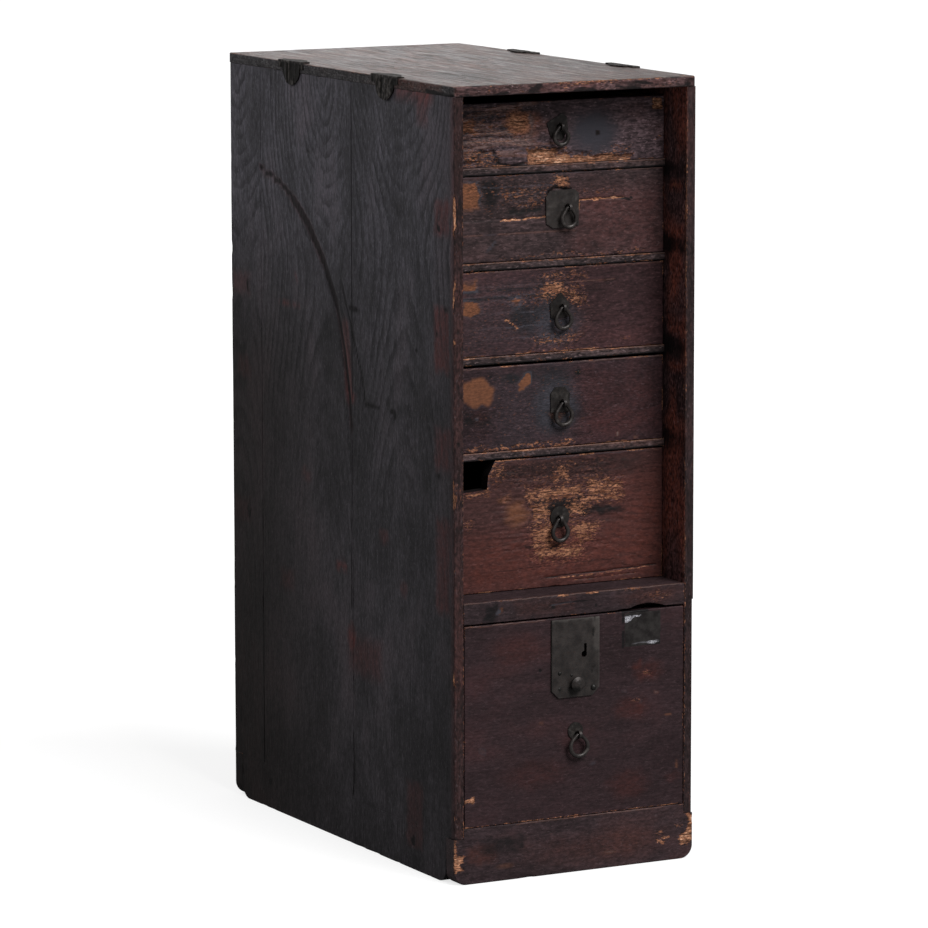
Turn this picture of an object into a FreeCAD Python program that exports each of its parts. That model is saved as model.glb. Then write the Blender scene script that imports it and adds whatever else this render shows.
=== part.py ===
import FreeCAD, Part
import math
import os

import Sketcher

# Small tansu chest: a narrow lacquered case on a low plinth, five drawers set back
# behind the front, one lockable drawer flush below them, iron pulls, lock and straps.
# Frame: +X to the right of someone facing the drawers, the front faces -Y, +Z up,
# origin on the floor under the middle of the whole chest.  Millimetres.

SIZES = [
    # case
    ("case_width", 241.2),
    ("case_depth", 439.4),
    ("side_board", 9.6),
    ("top_board", 9.3),
    ("top_overhang", 0.4),
    ("top_front_overhang", 0.8),
    ("top_edge_round", 1.6),
    ("top_corner_round", 6.0),
    ("bottom_board", 9.0),
    ("back_board", 6.5),
    ("back_rabbet", 4.5),
    ("rear_seam", 63.0),
    ("middle_seam", 246.0),
    ("seam_bevel", 0.5),
    ("side_arris", 1.4),
    ("wear_depth", 1.8),
    ("wear_reach", 9.0),
    ("wear_height", 194.0),
    # plinth
    ("plinth_height", 41.0),
    ("plinth_board", 16.0),
    ("plinth_corner", 12.0),
    ("plinth_arris", 1.2),
    # rail and shelves
    ("rail_height", 19.0),
    ("rail_depth", 44.0),
    ("rail_wear_x", 73.5),
    ("rail_wear_half", 18.5),
    ("rail_wear_rise", 3.5),
    ("rail_wear_reach", 12.0),
    ("shelf_board", 6.8),
    ("shelf_proud", 0.8),
    ("dado_depth", 3.0),
    ("recess", 38.0),
    # the drawers' bays, counted from the top
    ("bay_1", 66.1),
    ("bay_2", 76.4),
    ("bay_3", 75.6),
    ("bay_4", 77.4),
    ("bay_5", 118.0),
    ("bay_6", 181.0),
    # drawers, counted from the top; the sixth is the locked one
    ("side_gap", 0.7),
    ("floor_gap", 0.4),
    ("rear_gap", 8.0),
    ("gap_above_1", 10.4),
    ("gap_above_2", 0.6),
    ("gap_above_3", 0.6),
    ("gap_above_4", 2.3),
    ("gap_above_5", 1.2),
    ("gap_above_6", 1.5),
    ("upper_front", 12.0),
    ("lower_front", 15.0),
    ("front_lap", 5.0),
    ("front_arris", 0.8),
    ("drawer_side", 7.0),
    ("drawer_back", 7.0),
    ("drawer_floor", 5.0),
    ("side_drop", 1.5),
    ("side_round", 1.5),
    ("back_drop", 4.0),
    ("break_width", 43.0),
    ("break_height", 25.0),
    ("break_slant", 8.0),
    ("break_splinter", 1.2),
    # pulls: the eye stands at pull_x from the middle, pull_rise above the front's foot
    ("pull_x_1", 4.0),
    ("pull_x_2", 12.0),
    ("pull_x_3", 6.5),
    ("pull_x_4", 7.0),
    ("pull_x_5", 3.5),
    ("pull_x_6", 1.5),
    ("pull_rise_1", 32.5),
    ("pull_rise_2", 44.7),
    ("pull_rise_3", 39.1),
    ("pull_rise_4", 38.8),
    ("pull_rise_5", 60.6),
    ("pull_rise_6", 74.1),
    ("ring_width_1", 16.5),
    ("ring_width_2", 17.0),
    ("ring_width_3", 18.0),
    ("ring_width_4", 19.0),
    ("ring_width_5", 18.0),
    ("ring_width_6", 20.0),
    ("ring_length_1", 18.5),
    ("ring_length_2", 20.0),
    ("ring_length_3", 21.0),
    ("ring_length_4", 22.0),
    ("ring_length_5", 22.0),
    ("ring_length_6", 22.0),
    ("ring_wire", 2.8),
    ("ring_crown", 3.4),
    ("pull_plate", 1.0),
    ("plate_width_1", 21.5),
    ("plate_width_2", 33.0),
    ("plate_width_3", 19.0),
    ("plate_width_4", 19.5),
    ("plate_width_5", 19.0),
    ("plate_width_6", 15.0),
    ("staple_iron", 1.2),
    ("staple_width", 2.4),
    ("staple_split", 0.1),
    ("staple_bend", 1.4),
    ("staple_throat", 1.0),
    ("staple_clinch", 8.0),
    ("eye_clearance", 1.0),
    # lock of the sixth drawer
    ("lock_x", -0.4),
    ("lock_width", 48.0),
    ("lock_length", 70.0),
    ("lock_plate", 1.5),
    ("lock_top_gap", 1.5),
    ("lock_chamfer", 7.0),
    ("keyhole_x", 9.5),
    ("keyhole_drop", 34.0),
    ("keyhole_bore", 5.6),
    ("keyhole_slot", 2.6),
    ("keyhole_length", 9.5),
    ("stud_drop", 59.5),
    ("stud_width", 13.0),
    ("stud_height", 9.0),
    ("stud_neck", 6.0),
    ("stud_tail", 7.5),
    ("stud_fit", 0.05),
    ("lock_case_width", 42.0),
    ("lock_case_height", 40.0),
    ("lock_case_depth", 9.0),
    ("lock_case_wall", 1.4),
    ("bolt_width", 18.0),
    ("bolt_shoulder", 9.0),
    ("bolt_gate", 4.4),
    ("bolt_gate_top", 22.0),
    ("bolt_travel", 8.0),
    ("bolt_clearance", 0.4),
    ("bolt_below_edge", 0.6),
    ("mortise_depth", 9.0),
    ("mortise_clearance", 1.0),
    # iron straps over the top edges, placed from the rear
    ("strap_iron", 1.3),
    ("strap_fold", 1.1),
    ("strap_rear", 129.0),
    ("strap_front", 313.0),
    ("strap_lobe_half", 18.0),
    ("strap_drop", 21.0),
    ("strap_reach", 13.0),
    ("strap_wing_half", 25.0),
    ("strap_wing", 6.0),
]

# Drawers and the thin shelves under them are counted from the top.
drawers = range(1, 7)
shelves = drawers[:4]
split_drawer, locked_drawer = drawers[4:]

# Outlines of the four upper pull plates, as shares of the plate's width from the eye:
# a tilted hexagon, a big square with clipped corners, a gable and an arch.
PLATE_OUTLINES = (
    ((-0.58, 0.16), (0.09, 0.53), (0.33, 0.42), (0.42, -0.12), (0.14, -0.56), (-0.37, -0.44)),
    ((-0.63, -0.42), (-0.64, 0.30), (-0.52, 0.45), (0.22, 0.47), (0.36, 0.36), (0.35, -0.50),
     (-0.42, -0.55)),
    ((-0.60, 0.18), (-0.05, 0.70), (0.40, 0.20), (0.34, -0.48), (-0.56, -0.48)),
    ((-0.59, 0.42), (-0.35, 0.72), (0.15, 0.72), (0.41, 0.40), (0.38, -0.42), (-0.56, -0.42)),
)
# The two round plates: where the disc's centre lies from the eye, as shares of its width.
PLATE_DISCS = ((0.09, 0.08), (-0.10, 0.20))

# The stud's turned head from its waist to its crown, as shares of its height and half width.
STUD_WAIST = 0.25
STUD_HEAD = ((0.50, 0.96), (0.72, 1.00), (0.92, 0.62))

# How near an edge has to lie to the place that is asked for.
NEAR = 0.01

doc = FreeCAD.newDocument("SmallTansuChest")
sheet = doc.addObject("Spreadsheet::Sheet", "Sizes")
for row, (alias, millimetres) in enumerate(SIZES, start=1):
    sheet.set(f"A{row}", str(millimetres))
    sheet.setAlias(f"A{row}", alias)
doc.recompute()


class Size:
    """A length together with its formula in the sheet's names."""

    def __init__(self, value, formula):
        self.value = value
        self.formula = formula

    def __add__(self, other):
        other = as_size(other)
        return Size(self.value + other.value, f"({self.formula} + {other.formula})")

    def __sub__(self, other):
        other = as_size(other)
        return Size(self.value - other.value, f"({self.formula} - {other.formula})")

    def __mul__(self, other):
        other = as_size(other)
        return Size(self.value * other.value, f"({self.formula} * {other.formula})")

    def __truediv__(self, other):
        other = as_size(other)
        return Size(self.value / other.value, f"({self.formula} / {other.formula})")

    def __neg__(self):
        return self if self is ZERO else Size(-self.value, f"(0 - {self.formula})")


def as_size(length):
    """Take a Size as it is and a plain number as a constant."""
    if isinstance(length, Size):
        return length
    return Size(float(length), f"{length}" if length >= 0 else f"(0 - {-length})")


def size(alias):
    """The sheet's cell of that name."""
    return Size(float(sheet.get(alias)), f"Sizes.{alias}")


def root(length):
    """The square root of a Size."""
    return Size(math.sqrt(length.value), f"sqrt({length.formula})")


def bind(target, path, length):
    target.setExpression(path, as_size(length).formula)


ZERO = as_size(0)
HALF = as_size(0.5)
subparts = []


# ---------------------------------------------------------------- building blocks

def new_body(label):
    """An empty body; its features are named after it."""
    body = doc.addObject("PartDesign::Body", label)
    body.Label = label
    return body


def place(target, x, y, z):
    """Bind an object's position to the sheet."""
    for axis, length in zip("xyz", (x, y, z)):
        bind(target, f".Placement.Base.{axis}", length)


def plane_of(body, role):
    return next(item for item in body.Origin.OriginFeatures if item.Role == role)


def sketch_on(body, role, name, offset=ZERO):
    """A sketch on one of the body's own origin planes, moved along its normal."""
    sketch = body.newObject("Sketcher::SketchObject", f"{body.Name}_{name}")
    sketch.AttachmentSupport = [(plane_of(body, role), "")]
    sketch.MapMode = "FlatFace"
    if offset is not ZERO:
        bind(sketch, ".AttachmentOffset.Base.z", offset)
    return sketch


def hold_point(sketch, geometry, end, x, y):
    """Hold a point by its two coordinates; ZERO puts it on the axis."""
    for kind, axis, length in (("DistanceX", -2, as_size(x)), ("DistanceY", -1, as_size(y))):
        if length is ZERO:
            sketch.addConstraint(Sketcher.Constraint("PointOnObject", geometry, end, axis))
        else:
            index = sketch.addConstraint(Sketcher.Constraint(kind, geometry, end, length.value))
            bind(sketch, f"Constraints[{index}]", length)


def polygon(sketch, corners):
    """Straight edges through the corners and back to the first."""
    corners = [(as_size(x), as_size(y)) for x, y in corners]
    points = [FreeCAD.Vector(x.value, y.value, 0) for x, y in corners]
    first = sketch.GeometryCount
    count = len(points)
    for i in range(count):
        sketch.addGeometry(Part.LineSegment(points[i], points[(i + 1) % count]), False)
    for i in range(count):
        sketch.addConstraint(
            Sketcher.Constraint("Coincident", first + i, 2, first + (i + 1) % count, 1))
    for i, (x, y) in enumerate(corners):
        hold_point(sketch, first + i, 1, x, y)


def rectangle(sketch, left, low, right, high):
    polygon(sketch, [(left, low), (right, low), (right, high), (left, high)])


def circle(sketch, x, y, radius):
    x, y, radius = as_size(x), as_size(y), as_size(radius)
    centre = FreeCAD.Vector(x.value, y.value, 0)
    index = sketch.addGeometry(
        Part.Circle(centre, FreeCAD.Vector(0, 0, 1), radius.value), False)
    held = sketch.addConstraint(Sketcher.Constraint("Radius", index, radius.value))
    bind(sketch, f"Constraints[{held}]", radius)
    hold_point(sketch, index, 3, x, y)


def pad(body, sketch, length, backwards=False, name="pad"):
    feature = body.newObject("PartDesign::Pad", f"{body.Name}_{name}")
    feature.Profile = sketch
    bind(feature, "Length", length)
    feature.Reversed = backwards
    sketch.Visibility = False
    return feature


def pocket(body, sketch, length, backwards=False, name="pocket"):
    """Cut the sketch away; None cuts right through.  It has to remove something."""
    doc.recompute()
    before = body.Shape.Volume
    feature = body.newObject("PartDesign::Pocket", f"{body.Name}_{name}")
    feature.Profile = sketch
    feature.Reversed = backwards
    if length is None:
        feature.Type = "ThroughAll"
    else:
        bind(feature, "Length", length)
    doc.recompute()
    if body.Shape.Volume >= before:
        raise RuntimeError(f"{feature.Name} cuts nothing")
    return feature


def soften(body, radius, wanted, name="round"):
    """Fillet those edges of the body's tip that the test picks."""
    doc.recompute()
    base = body.Tip
    edges = [f"Edge{i}" for i, edge in enumerate(base.Shape.Edges, start=1) if wanted(edge)]
    if not edges:
        raise RuntimeError(f"no edge of {body.Name} to round")
    feature = body.newObject("PartDesign::Fillet", f"{body.Name}_{name}")
    feature.Base = (base, edges)
    bind(feature, "Radius", radius)
    return feature


def lies_at(edge, axis, length):
    """True where the whole edge lies at that coordinate of its own body."""
    bounds = edge.BoundBox
    low = getattr(bounds, f"{axis}Min")
    high = getattr(bounds, f"{axis}Max")
    value = as_size(length).value
    return abs(low - value) < NEAR and abs(high - value) < NEAR


def runs_along(edge, axis):
    """True for a straight edge parallel to the axis."""
    bounds = edge.BoundBox
    across = [getattr(bounds, f"{other}Length") for other in "XYZ" if other != axis]
    return max(across) < NEAR


def board(label, width, depth, height):
    """A plain board, its corner at its own origin."""
    body = new_body(label)
    plan = sketch_on(body, "XY_Plane", "plan")
    rectangle(plan, ZERO, ZERO, width, depth)
    pad(body, plan, height)
    return body


def keep(item, label=None):
    """Count an object as a sub-part under its label."""
    if label:
        item.Label = label
    subparts.append(item)
    return item


def group(label, pieces):
    """Several separate solids of one kind as one sub-part."""
    compound = doc.addObject("Part::Compound", label)
    compound.Links = pieces
    return keep(compound, label)


# ---------------------------------------------------------------- shared places

inner_width = size("case_width") - size("side_board") * 2
case_left = -(size("case_width") * HALF)
inner_left = case_left + size("side_board")
# The lock's stud stands in front of the case, and the origin lies midway along them both.
case_front = (size("stud_height") - size("case_depth")) * HALF
case_rear = case_front + size("case_depth")
panel_front = case_rear - size("back_board")
floor_top = size("plinth_height") + size("bottom_board")
rail_foot = floor_top + size("bay_6")
rail_top = rail_foot + size("rail_height")
upper_front_y = case_front + size("recess")
shelf_front_y = upper_front_y - size("shelf_proud")

# Each drawer's bay, stacked up from the bottom board and the rail.
bay_floor = {locked_drawer: floor_top, split_drawer: rail_top}
for number in reversed(shelves):
    bay_floor[number] = bay_floor[number + 1] + size(f"bay_{number + 1}") + size("shelf_board")
bay_ceiling = {number: bay_floor[number] + size(f"bay_{number}") for number in drawers}
case_top = bay_ceiling[drawers[0]]
chest_top = case_top + size("top_board")


# ---------------------------------------------------------------- case

def side_wall(label, on_left):
    """A side of three boards glued edge to edge, dadoed for the shelves."""
    thickness = size("side_board")
    height = case_top - size("plinth_height")
    outer = ZERO if on_left else thickness
    inner = thickness if on_left else ZERO
    dado_low = thickness - size("dado_depth") if on_left else ZERO
    dado_high = thickness if on_left else size("dado_depth")
    rabbet_low = thickness - size("back_rabbet") if on_left else ZERO
    rabbet_high = thickness if on_left else size("back_rabbet")
    cuts = {"front": case_front, "middle": case_rear - size("middle_seam"),
            "rear": case_rear - size("rear_seam"), "end": case_rear}
    boards = []
    for near, far in (("front", "middle"), ("middle", "rear"), ("rear", "end")):
        depth = cuts[far] - cuts[near]
        body = board(f"{label}_{near}_board", thickness, depth, height)
        if near == "front":
            soften(body, size("side_arris"),
                   lambda edge: runs_along(edge, "Z") and lies_at(edge, "Y", ZERO)
                   and lies_at(edge, "X", outer), "arris")
            dado_start = shelf_front_y - case_front
        else:
            dado_start = ZERO
        # The outer arrises at a seam are eased, which leaves a fine groove there.
        seams = [ZERO] if near == "rear" else [depth] if near == "front" else [ZERO, depth]
        feature = chamfer_at(body, outer, seams)
        bind(feature, "Size", size("seam_bevel"))
        dados = sketch_on(body, "XZ_Plane", "dados", -dado_start)
        for number in shelves:
            low = bay_floor[number] - size("shelf_board") - size("plinth_height")
            rectangle(dados, dado_low, low, dado_high, low + size("shelf_board"))
        pocket(body, dados, None, name="dado")
        if near == "rear":
            rabbet = sketch_on(body, "XY_Plane", "rabbet")
            rectangle(rabbet, rabbet_low, depth - size("back_board"), rabbet_high, depth)
            pocket(body, rabbet, None, backwards=True, name="back_rabbet")
        if near == "front" and not on_left:
            # Wear has thinned the lower half of this front edge.
            wear = sketch_on(body, "XY_Plane", "wear")
            polygon(wear, [(outer, ZERO), (outer, size("wear_reach")),
                           (outer - size("wear_depth"), ZERO)])
            pocket(body, wear, size("wear_height"), backwards=True, name="worn_edge")
        place(body, case_left if on_left else -inner_left, cuts[near], size("plinth_height"))
        boards.append(body)
    return group(label, boards)


def chamfer_at(body, outer, seams):
    """Ease the long outer edges at the given depths of a side board."""
    doc.recompute()
    base = body.Tip
    edges = [
        f"Edge{i}" for i, edge in enumerate(base.Shape.Edges, start=1)
        if runs_along(edge, "Z") and lies_at(edge, "X", outer)
        and any(lies_at(edge, "Y", seam) for seam in seams)]
    feature = body.newObject("PartDesign::Chamfer", f"{body.Name}_seam")
    feature.Base = (base, edges)
    return feature


def top():
    """The top laps over both sides; its front corners and edges are rubbed round."""
    width = size("case_width") + size("top_overhang") * 2
    depth = size("case_depth") + size("top_front_overhang")
    body = board("top_board", width, depth, size("top_board"))
    soften(body, size("top_corner_round"),
           lambda edge: runs_along(edge, "Z") and lies_at(edge, "Y", ZERO), "corners")
    soften(body, size("top_edge_round"),
           lambda edge: lies_at(edge, "Z", size("top_board")) and not lies_at(edge, "Y", depth),
           "edges")
    place(body, case_left - size("top_overhang"), case_front - size("top_front_overhang"),
          case_top)
    return keep(body)


def bottom():
    start = case_front + size("plinth_board")
    body = board("bottom_board", inner_width, panel_front - start, size("bottom_board"))
    place(body, inner_left, start, size("plinth_height"))
    return keep(body)


def back():
    """Two upright boards let into the rabbets of the sides."""
    half = inner_width * HALF + size("back_rabbet")
    boards = []
    for label, start in (("back_left_board", -half), ("back_right_board", ZERO)):
        body = board(label, half, size("back_board"), case_top - size("plinth_height"))
        place(body, start, panel_front, size("plinth_height"))
        boards.append(body)
    return group("back_boards", boards)


def mid_rail():
    """The rail between the lock drawer and the drawers above it.

    Its lower front edge is worn hollow towards the right, and it is mortised
    underneath for the lock's bolt.
    """
    body = board("mid_rail", inner_width, size("rail_depth"), size("rail_height"))
    half, rise = size("rail_wear_half"), size("rail_wear_rise")
    radius = (half * half + rise * rise) / (rise * 2)
    wear = sketch_on(body, "XZ_Plane", "wear")
    circle(wear, size("rail_wear_x") - inner_left, rise - radius, radius)
    pocket(body, wear, size("rail_wear_reach"), name="worn_hollow")
    mortise = sketch_on(body, "XY_Plane", "mortise")
    middle = size("lock_x") - inner_left
    half_slot = size("bolt_width") * HALF + size("mortise_clearance")
    rectangle(mortise, middle - half_slot, bolt_front - size("mortise_clearance"),
              middle + half_slot, bolt_front + bolt_thickness + size("mortise_clearance"))
    pocket(body, mortise, size("mortise_depth"), backwards=True, name="bolt_mortise")
    place(body, inner_left, case_front, rail_foot)
    return keep(body)


def mid_shelf():
    """The board behind the rail that carries the fifth drawer."""
    start = case_front + size("rail_depth")
    body = board("mid_shelf", inner_width, panel_front - start, size("shelf_board"))
    place(body, inner_left, start, rail_top - size("shelf_board"))
    return keep(body)


def shelf(number):
    """The thin shelf under one of the four upper drawers, its ends in the dadoes."""
    body = board(f"shelf_{number}", inner_width + size("dado_depth") * 2,
                 panel_front - shelf_front_y, size("shelf_board"))
    place(body, inner_left - size("dado_depth"), shelf_front_y,
          bay_floor[number] - size("shelf_board"))
    return keep(body)


# ---------------------------------------------------------------- plinth


def plinth_end(label, height, y, outer_y):
    """A cross board of the plinth, its lower corners rounded off."""
    body = board(label, size("case_width"), size("plinth_board"), height)
    soften(body, size("plinth_corner"),
           lambda edge: runs_along(edge, "Y") and lies_at(edge, "Z", ZERO), "lower_corners")
    soften(body, size("plinth_arris"),
           lambda edge: runs_along(edge, "Z") and lies_at(edge, "Y", outer_y), "arris")
    place(body, case_left, y, ZERO)
    return body


def plinth_front():
    """The front cross board, which runs on up between the sides to the bottom board's top."""
    body = plinth_end("plinth_front", floor_top, case_front, ZERO)
    notches = sketch_on(body, "XZ_Plane", "notches")
    for left in (ZERO, size("case_width") - size("side_board")):
        rectangle(notches, left, size("plinth_height"), left + size("side_board"), floor_top)
    pocket(body, notches, size("plinth_board"), name="round_the_sides")
    return keep(body)


def plinth_sides():
    """Two side boards between the cross boards."""
    thickness = size("plinth_board")
    depth = size("case_depth") - thickness * 2
    boards = []
    for label, x in (("plinth_left", case_left), ("plinth_right", -case_left - thickness)):
        body = board(label, thickness, depth, size("plinth_height"))
        place(body, x, case_front + thickness, ZERO)
        boards.append(body)
    return group("plinth_sides", boards)


# ---------------------------------------------------------------- drawers

front_width = inner_width - size("side_gap") * 2
front_left = inner_left + size("side_gap")
drawer_rear = panel_front - size("rear_gap")
# The split pin's two legs lie against each other in a bore that clears their bends.
leg_offset = size("staple_iron") * HALF + size("staple_split") * HALF
leg_bend = leg_offset + size("staple_bend")
leg_hole = root(leg_bend * leg_bend + size("staple_width") * size("staple_width") / 4)


def drawer_front(number, thickness, height):
    """The front board, rabbeted at the ends for the sides and below for the floor."""
    body = new_body(f"drawer_{number}_front")
    plan = sketch_on(body, "XY_Plane", "plan")
    tongue_left = size("drawer_side")
    tongue_right = front_width - size("drawer_side")
    polygon(plan, [
        (ZERO, ZERO), (front_width, ZERO), (front_width, size("front_lap")),
        (tongue_right, size("front_lap")), (tongue_right, thickness),
        (tongue_left, thickness), (tongue_left, size("front_lap")), (ZERO, size("front_lap"))])
    pad(body, plan, height)
    soften(body, size("front_arris"), lambda edge: lies_at(edge, "Y", ZERO), "arris")
    rabbet = sketch_on(body, "XY_Plane", "floor_rabbet", size("drawer_floor"))
    rectangle(rabbet, tongue_left, size("front_lap"), tongue_right, thickness)
    pocket(body, rabbet, None, name="rabbet")
    hole = sketch_on(body, "XZ_Plane", "staple_hole")
    circle(hole, size(f"pull_x_{number}") - front_left, size(f"pull_rise_{number}"), leg_hole)
    pocket(body, hole, None, name="staple_bore")
    return body


def broken_corner(body, height):
    """The upper left corner of the fifth front has split away along the grain."""
    gone = sketch_on(body, "XZ_Plane", "break")
    low = height - size("break_height")
    splinter = size("break_splinter")
    polygon(gone, [
        (ZERO, low), (size("break_width") * HALF, low - splinter), (size("break_width"), low),
        (size("break_width") + splinter, low + size("break_height") * HALF),
        (size("break_width") + size("break_slant"), height), (ZERO, height)])
    pocket(body, gone, None, name="broken_away")


def lock_recess(body, thickness, height):
    """Room in the sixth front for the lock's case, with the keyhole through to it."""
    middle = size("lock_x") - front_left
    half = size("lock_case_width") * HALF
    recess = sketch_on(body, "XZ_Plane", "lock_recess", -thickness)
    rectangle(recess, middle - half, height - size("lock_case_height"), middle + half, height)
    pocket(body, recess, size("lock_case_depth"), backwards=True, name="lock_room")
    keyway = sketch_on(body, "XZ_Plane", "keyway")
    x = size("keyhole_x") - front_left
    low = height - size("keyhole_drop") - size("keyhole_bore") * HALF
    high = height - size("keyhole_drop") + size("keyhole_length")
    half_way = size("keyhole_bore") * HALF
    rectangle(keyway, x - half_way, low, x + half_way, high)
    pocket(body, keyway, None, name="keyway_cut")
    stem = sketch_on(body, "XZ_Plane", "stud_hole")
    circle(stem, middle, height - size("stud_drop"), size("stud_neck") * HALF + size("stud_fit"))
    pocket(body, stem, size("stud_tail"), name="stud_bore")


def drawer_box(number, front_y, thickness, height):
    """Sides, back and floor behind a front whose foot stands at the bay's floor."""
    foot = bay_floor[number] + size("floor_gap")
    start = front_y + size("front_lap")
    length = drawer_rear - start
    side_height = height - size("drawer_floor") - size("side_drop")
    sides = []
    for label, x in (("left", front_left),
                     ("right", -front_left - size("drawer_side"))):
        body = board(f"drawer_{number}_{label}_side", size("drawer_side"), length, side_height)
        soften(body, size("side_round"),
               lambda edge: runs_along(edge, "Y") and lies_at(edge, "Z", side_height), "top")
        place(body, x, start, foot + size("drawer_floor"))
        sides.append(body)
    group(f"drawer_{number}_sides", sides)

    inside = front_width - size("drawer_side") * 2
    body = board(f"drawer_{number}_back", inside, size("drawer_back"),
                 side_height - size("back_drop"))
    place(body, front_left + size("drawer_side"), drawer_rear - size("drawer_back"),
          foot + size("drawer_floor"))
    keep(body)

    # The floor lies under the sides and runs forward into the front's rabbet.
    body = board(f"drawer_{number}_floor", front_width, length, size("drawer_floor"))
    place(body, front_left, start, foot)
    keep(body)


def drawer(number):
    """One drawer with its pull."""
    locked = number == locked_drawer
    thickness = size("lower_front" if locked else "upper_front")
    front_y = case_front if locked else upper_front_y
    foot = bay_floor[number] + size("floor_gap")
    height = bay_ceiling[number] - size(f"gap_above_{number}") - foot
    body = drawer_front(number, thickness, height)
    if number == split_drawer:
        broken_corner(body, height)
    if locked:
        lock_recess(body, thickness, height)
    place(body, front_left, front_y, foot)
    keep(body)
    drawer_box(number, front_y, thickness, height)
    pull(number, front_y, foot + size(f"pull_rise_{number}"), thickness)


# ---------------------------------------------------------------- pulls

# The split pin's loop: an eye on a circle, two small throats that draw it in to the legs.
eye_radius = size("ring_wire") * HALF + size("eye_clearance") + size("staple_iron") * HALF
throat = size("staple_throat")
throat_rise = leg_offset + throat
throat_reach = root((eye_radius + throat) * (eye_radius + throat) - throat_rise * throat_rise)
eye_stand = size("pull_plate") + throat_reach


def pull_plate(number):
    """The thin iron plate behind a ring, each cut by hand to its own outline."""
    body = new_body(f"drawer_{number}_plate")
    outline = sketch_on(body, "XZ_Plane", "outline")
    width = size(f"plate_width_{number}")
    if number in shelves:
        polygon(outline, [(width * x, width * z) for x, z in PLATE_OUTLINES[shelves.index(number)]])
    else:
        x, z = PLATE_DISCS[number - split_drawer]
        circle(outline, width * x, width * z, width * HALF)
    pad(body, outline, size("pull_plate"))
    hole = sketch_on(body, "XZ_Plane", "hole")
    circle(hole, ZERO, ZERO, leg_hole)
    pocket(body, hole, None, backwards=True, name="bore")
    return body


def staple(number, thickness):
    """A split pin bent from flat strip: eye outside, legs through the front, clinched inside."""
    body = new_body(f"drawer_{number}_staple")
    width = size("staple_width")
    outline = sketch_on(body, "YZ_Plane", "outline", -(width * HALF))
    half = size("staple_iron") * HALF
    outer = bent_line(outline, half, thickness)
    inner = bent_line(outline, -half, thickness)
    for near, far in ((outer[0], inner[0]), (outer[1], inner[1])):
        cap = outline.addGeometry(
            Part.LineSegment(outline.getPoint(*near), outline.getPoint(*far)), False)
        outline.addConstraint(Sketcher.Constraint("Coincident", cap, 1, *near))
        outline.addConstraint(Sketcher.Constraint("Coincident", cap, 2, *far))
    pad(body, outline, width)
    return body


def bent_line(sketch, shift, thickness):
    """The strip's bent middle line, shifted outwards; returns its two ends.

    It runs from the upper clinch along the leg, round the eye and back to the lower clinch.
    """
    bend = size("staple_bend")
    turn = thickness + size("staple_iron") * HALF - bend
    end_y = turn + bend - shift
    end_z = leg_bend + size("staple_clinch")
    leg = leg_offset + shift
    bend_r, throat_r, eye_r = bend - shift, throat - shift, eye_radius + shift
    first = sketch.GeometryCount

    def line(y1, z1, y2, z2):
        sketch.addGeometry(
            Part.LineSegment(FreeCAD.Vector(y1, z1, 0), FreeCAD.Vector(y2, z2, 0)), False)

    def arc(y, z, radius, start, end):
        whole = Part.Circle(FreeCAD.Vector(y, z, 0), FreeCAD.Vector(0, 0, 1), radius.value)
        sketch.addGeometry(Part.ArcOfCircle(whole, start, end), False)

    right, up, left, down = 0, math.pi / 2, math.pi, math.pi * 3 / 2
    # Where eye and throat touch, as an angle at the eye's middle.
    touch = math.atan2(throat_rise.value, throat_reach.value)
    mouth = -size("pull_plate").value
    z_bend, z_throat = leg_bend.value, throat_rise.value
    line(end_y.value, end_z.value, end_y.value, z_bend)
    arc(turn.value, z_bend, bend_r, down, right)
    line(turn.value, leg.value, mouth, leg.value)
    arc(mouth, z_throat, throat_r, left + touch, down)
    arc(-eye_stand.value, 0, eye_r, touch, -touch)
    arc(mouth, -z_throat, throat_r, up, left - touch)
    line(mouth, -leg.value, turn.value, -leg.value)
    arc(turn.value, -z_bend, bend_r, right, up)
    line(end_y.value, -z_bend, end_y.value, -end_z.value)
    # Which ends meet, in order along the strip.
    for near, near_end, far, far_end in (
            (0, 2, 1, 2), (1, 1, 2, 1), (2, 2, 3, 2), (3, 1, 4, 1), (4, 2, 5, 2), (5, 1, 6, 1),
            (6, 2, 7, 2), (7, 1, 8, 1)):
        sketch.addConstraint(
            Sketcher.Constraint("Tangent", first + near, near_end, first + far, far_end))
    for index, radius in ((1, bend_r), (3, throat_r), (4, eye_r), (5, throat_r), (7, bend_r)):
        held = sketch.addConstraint(Sketcher.Constraint("Radius", first + index, radius.value))
        bind(sketch, f"Constraints[{held}]", radius)
    hold_point(sketch, first + 4, 3, -eye_stand, ZERO)
    hold_point(sketch, first, 1, end_y, end_z)
    hold_point(sketch, first + 8, 2, end_y, -end_z)
    for index, height in ((2, leg), (6, -leg)):
        sketch.addConstraint(Sketcher.Constraint("Horizontal", first + index))
        held = sketch.addConstraint(
            Sketcher.Constraint("DistanceY", first + index, 1, height.value))
        bind(sketch, f"Constraints[{held}]", height)
    for tail in (first, first + 8):
        sketch.addConstraint(Sketcher.Constraint("Vertical", tail))
    return (first, 1), (first + 8, 2)


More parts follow.
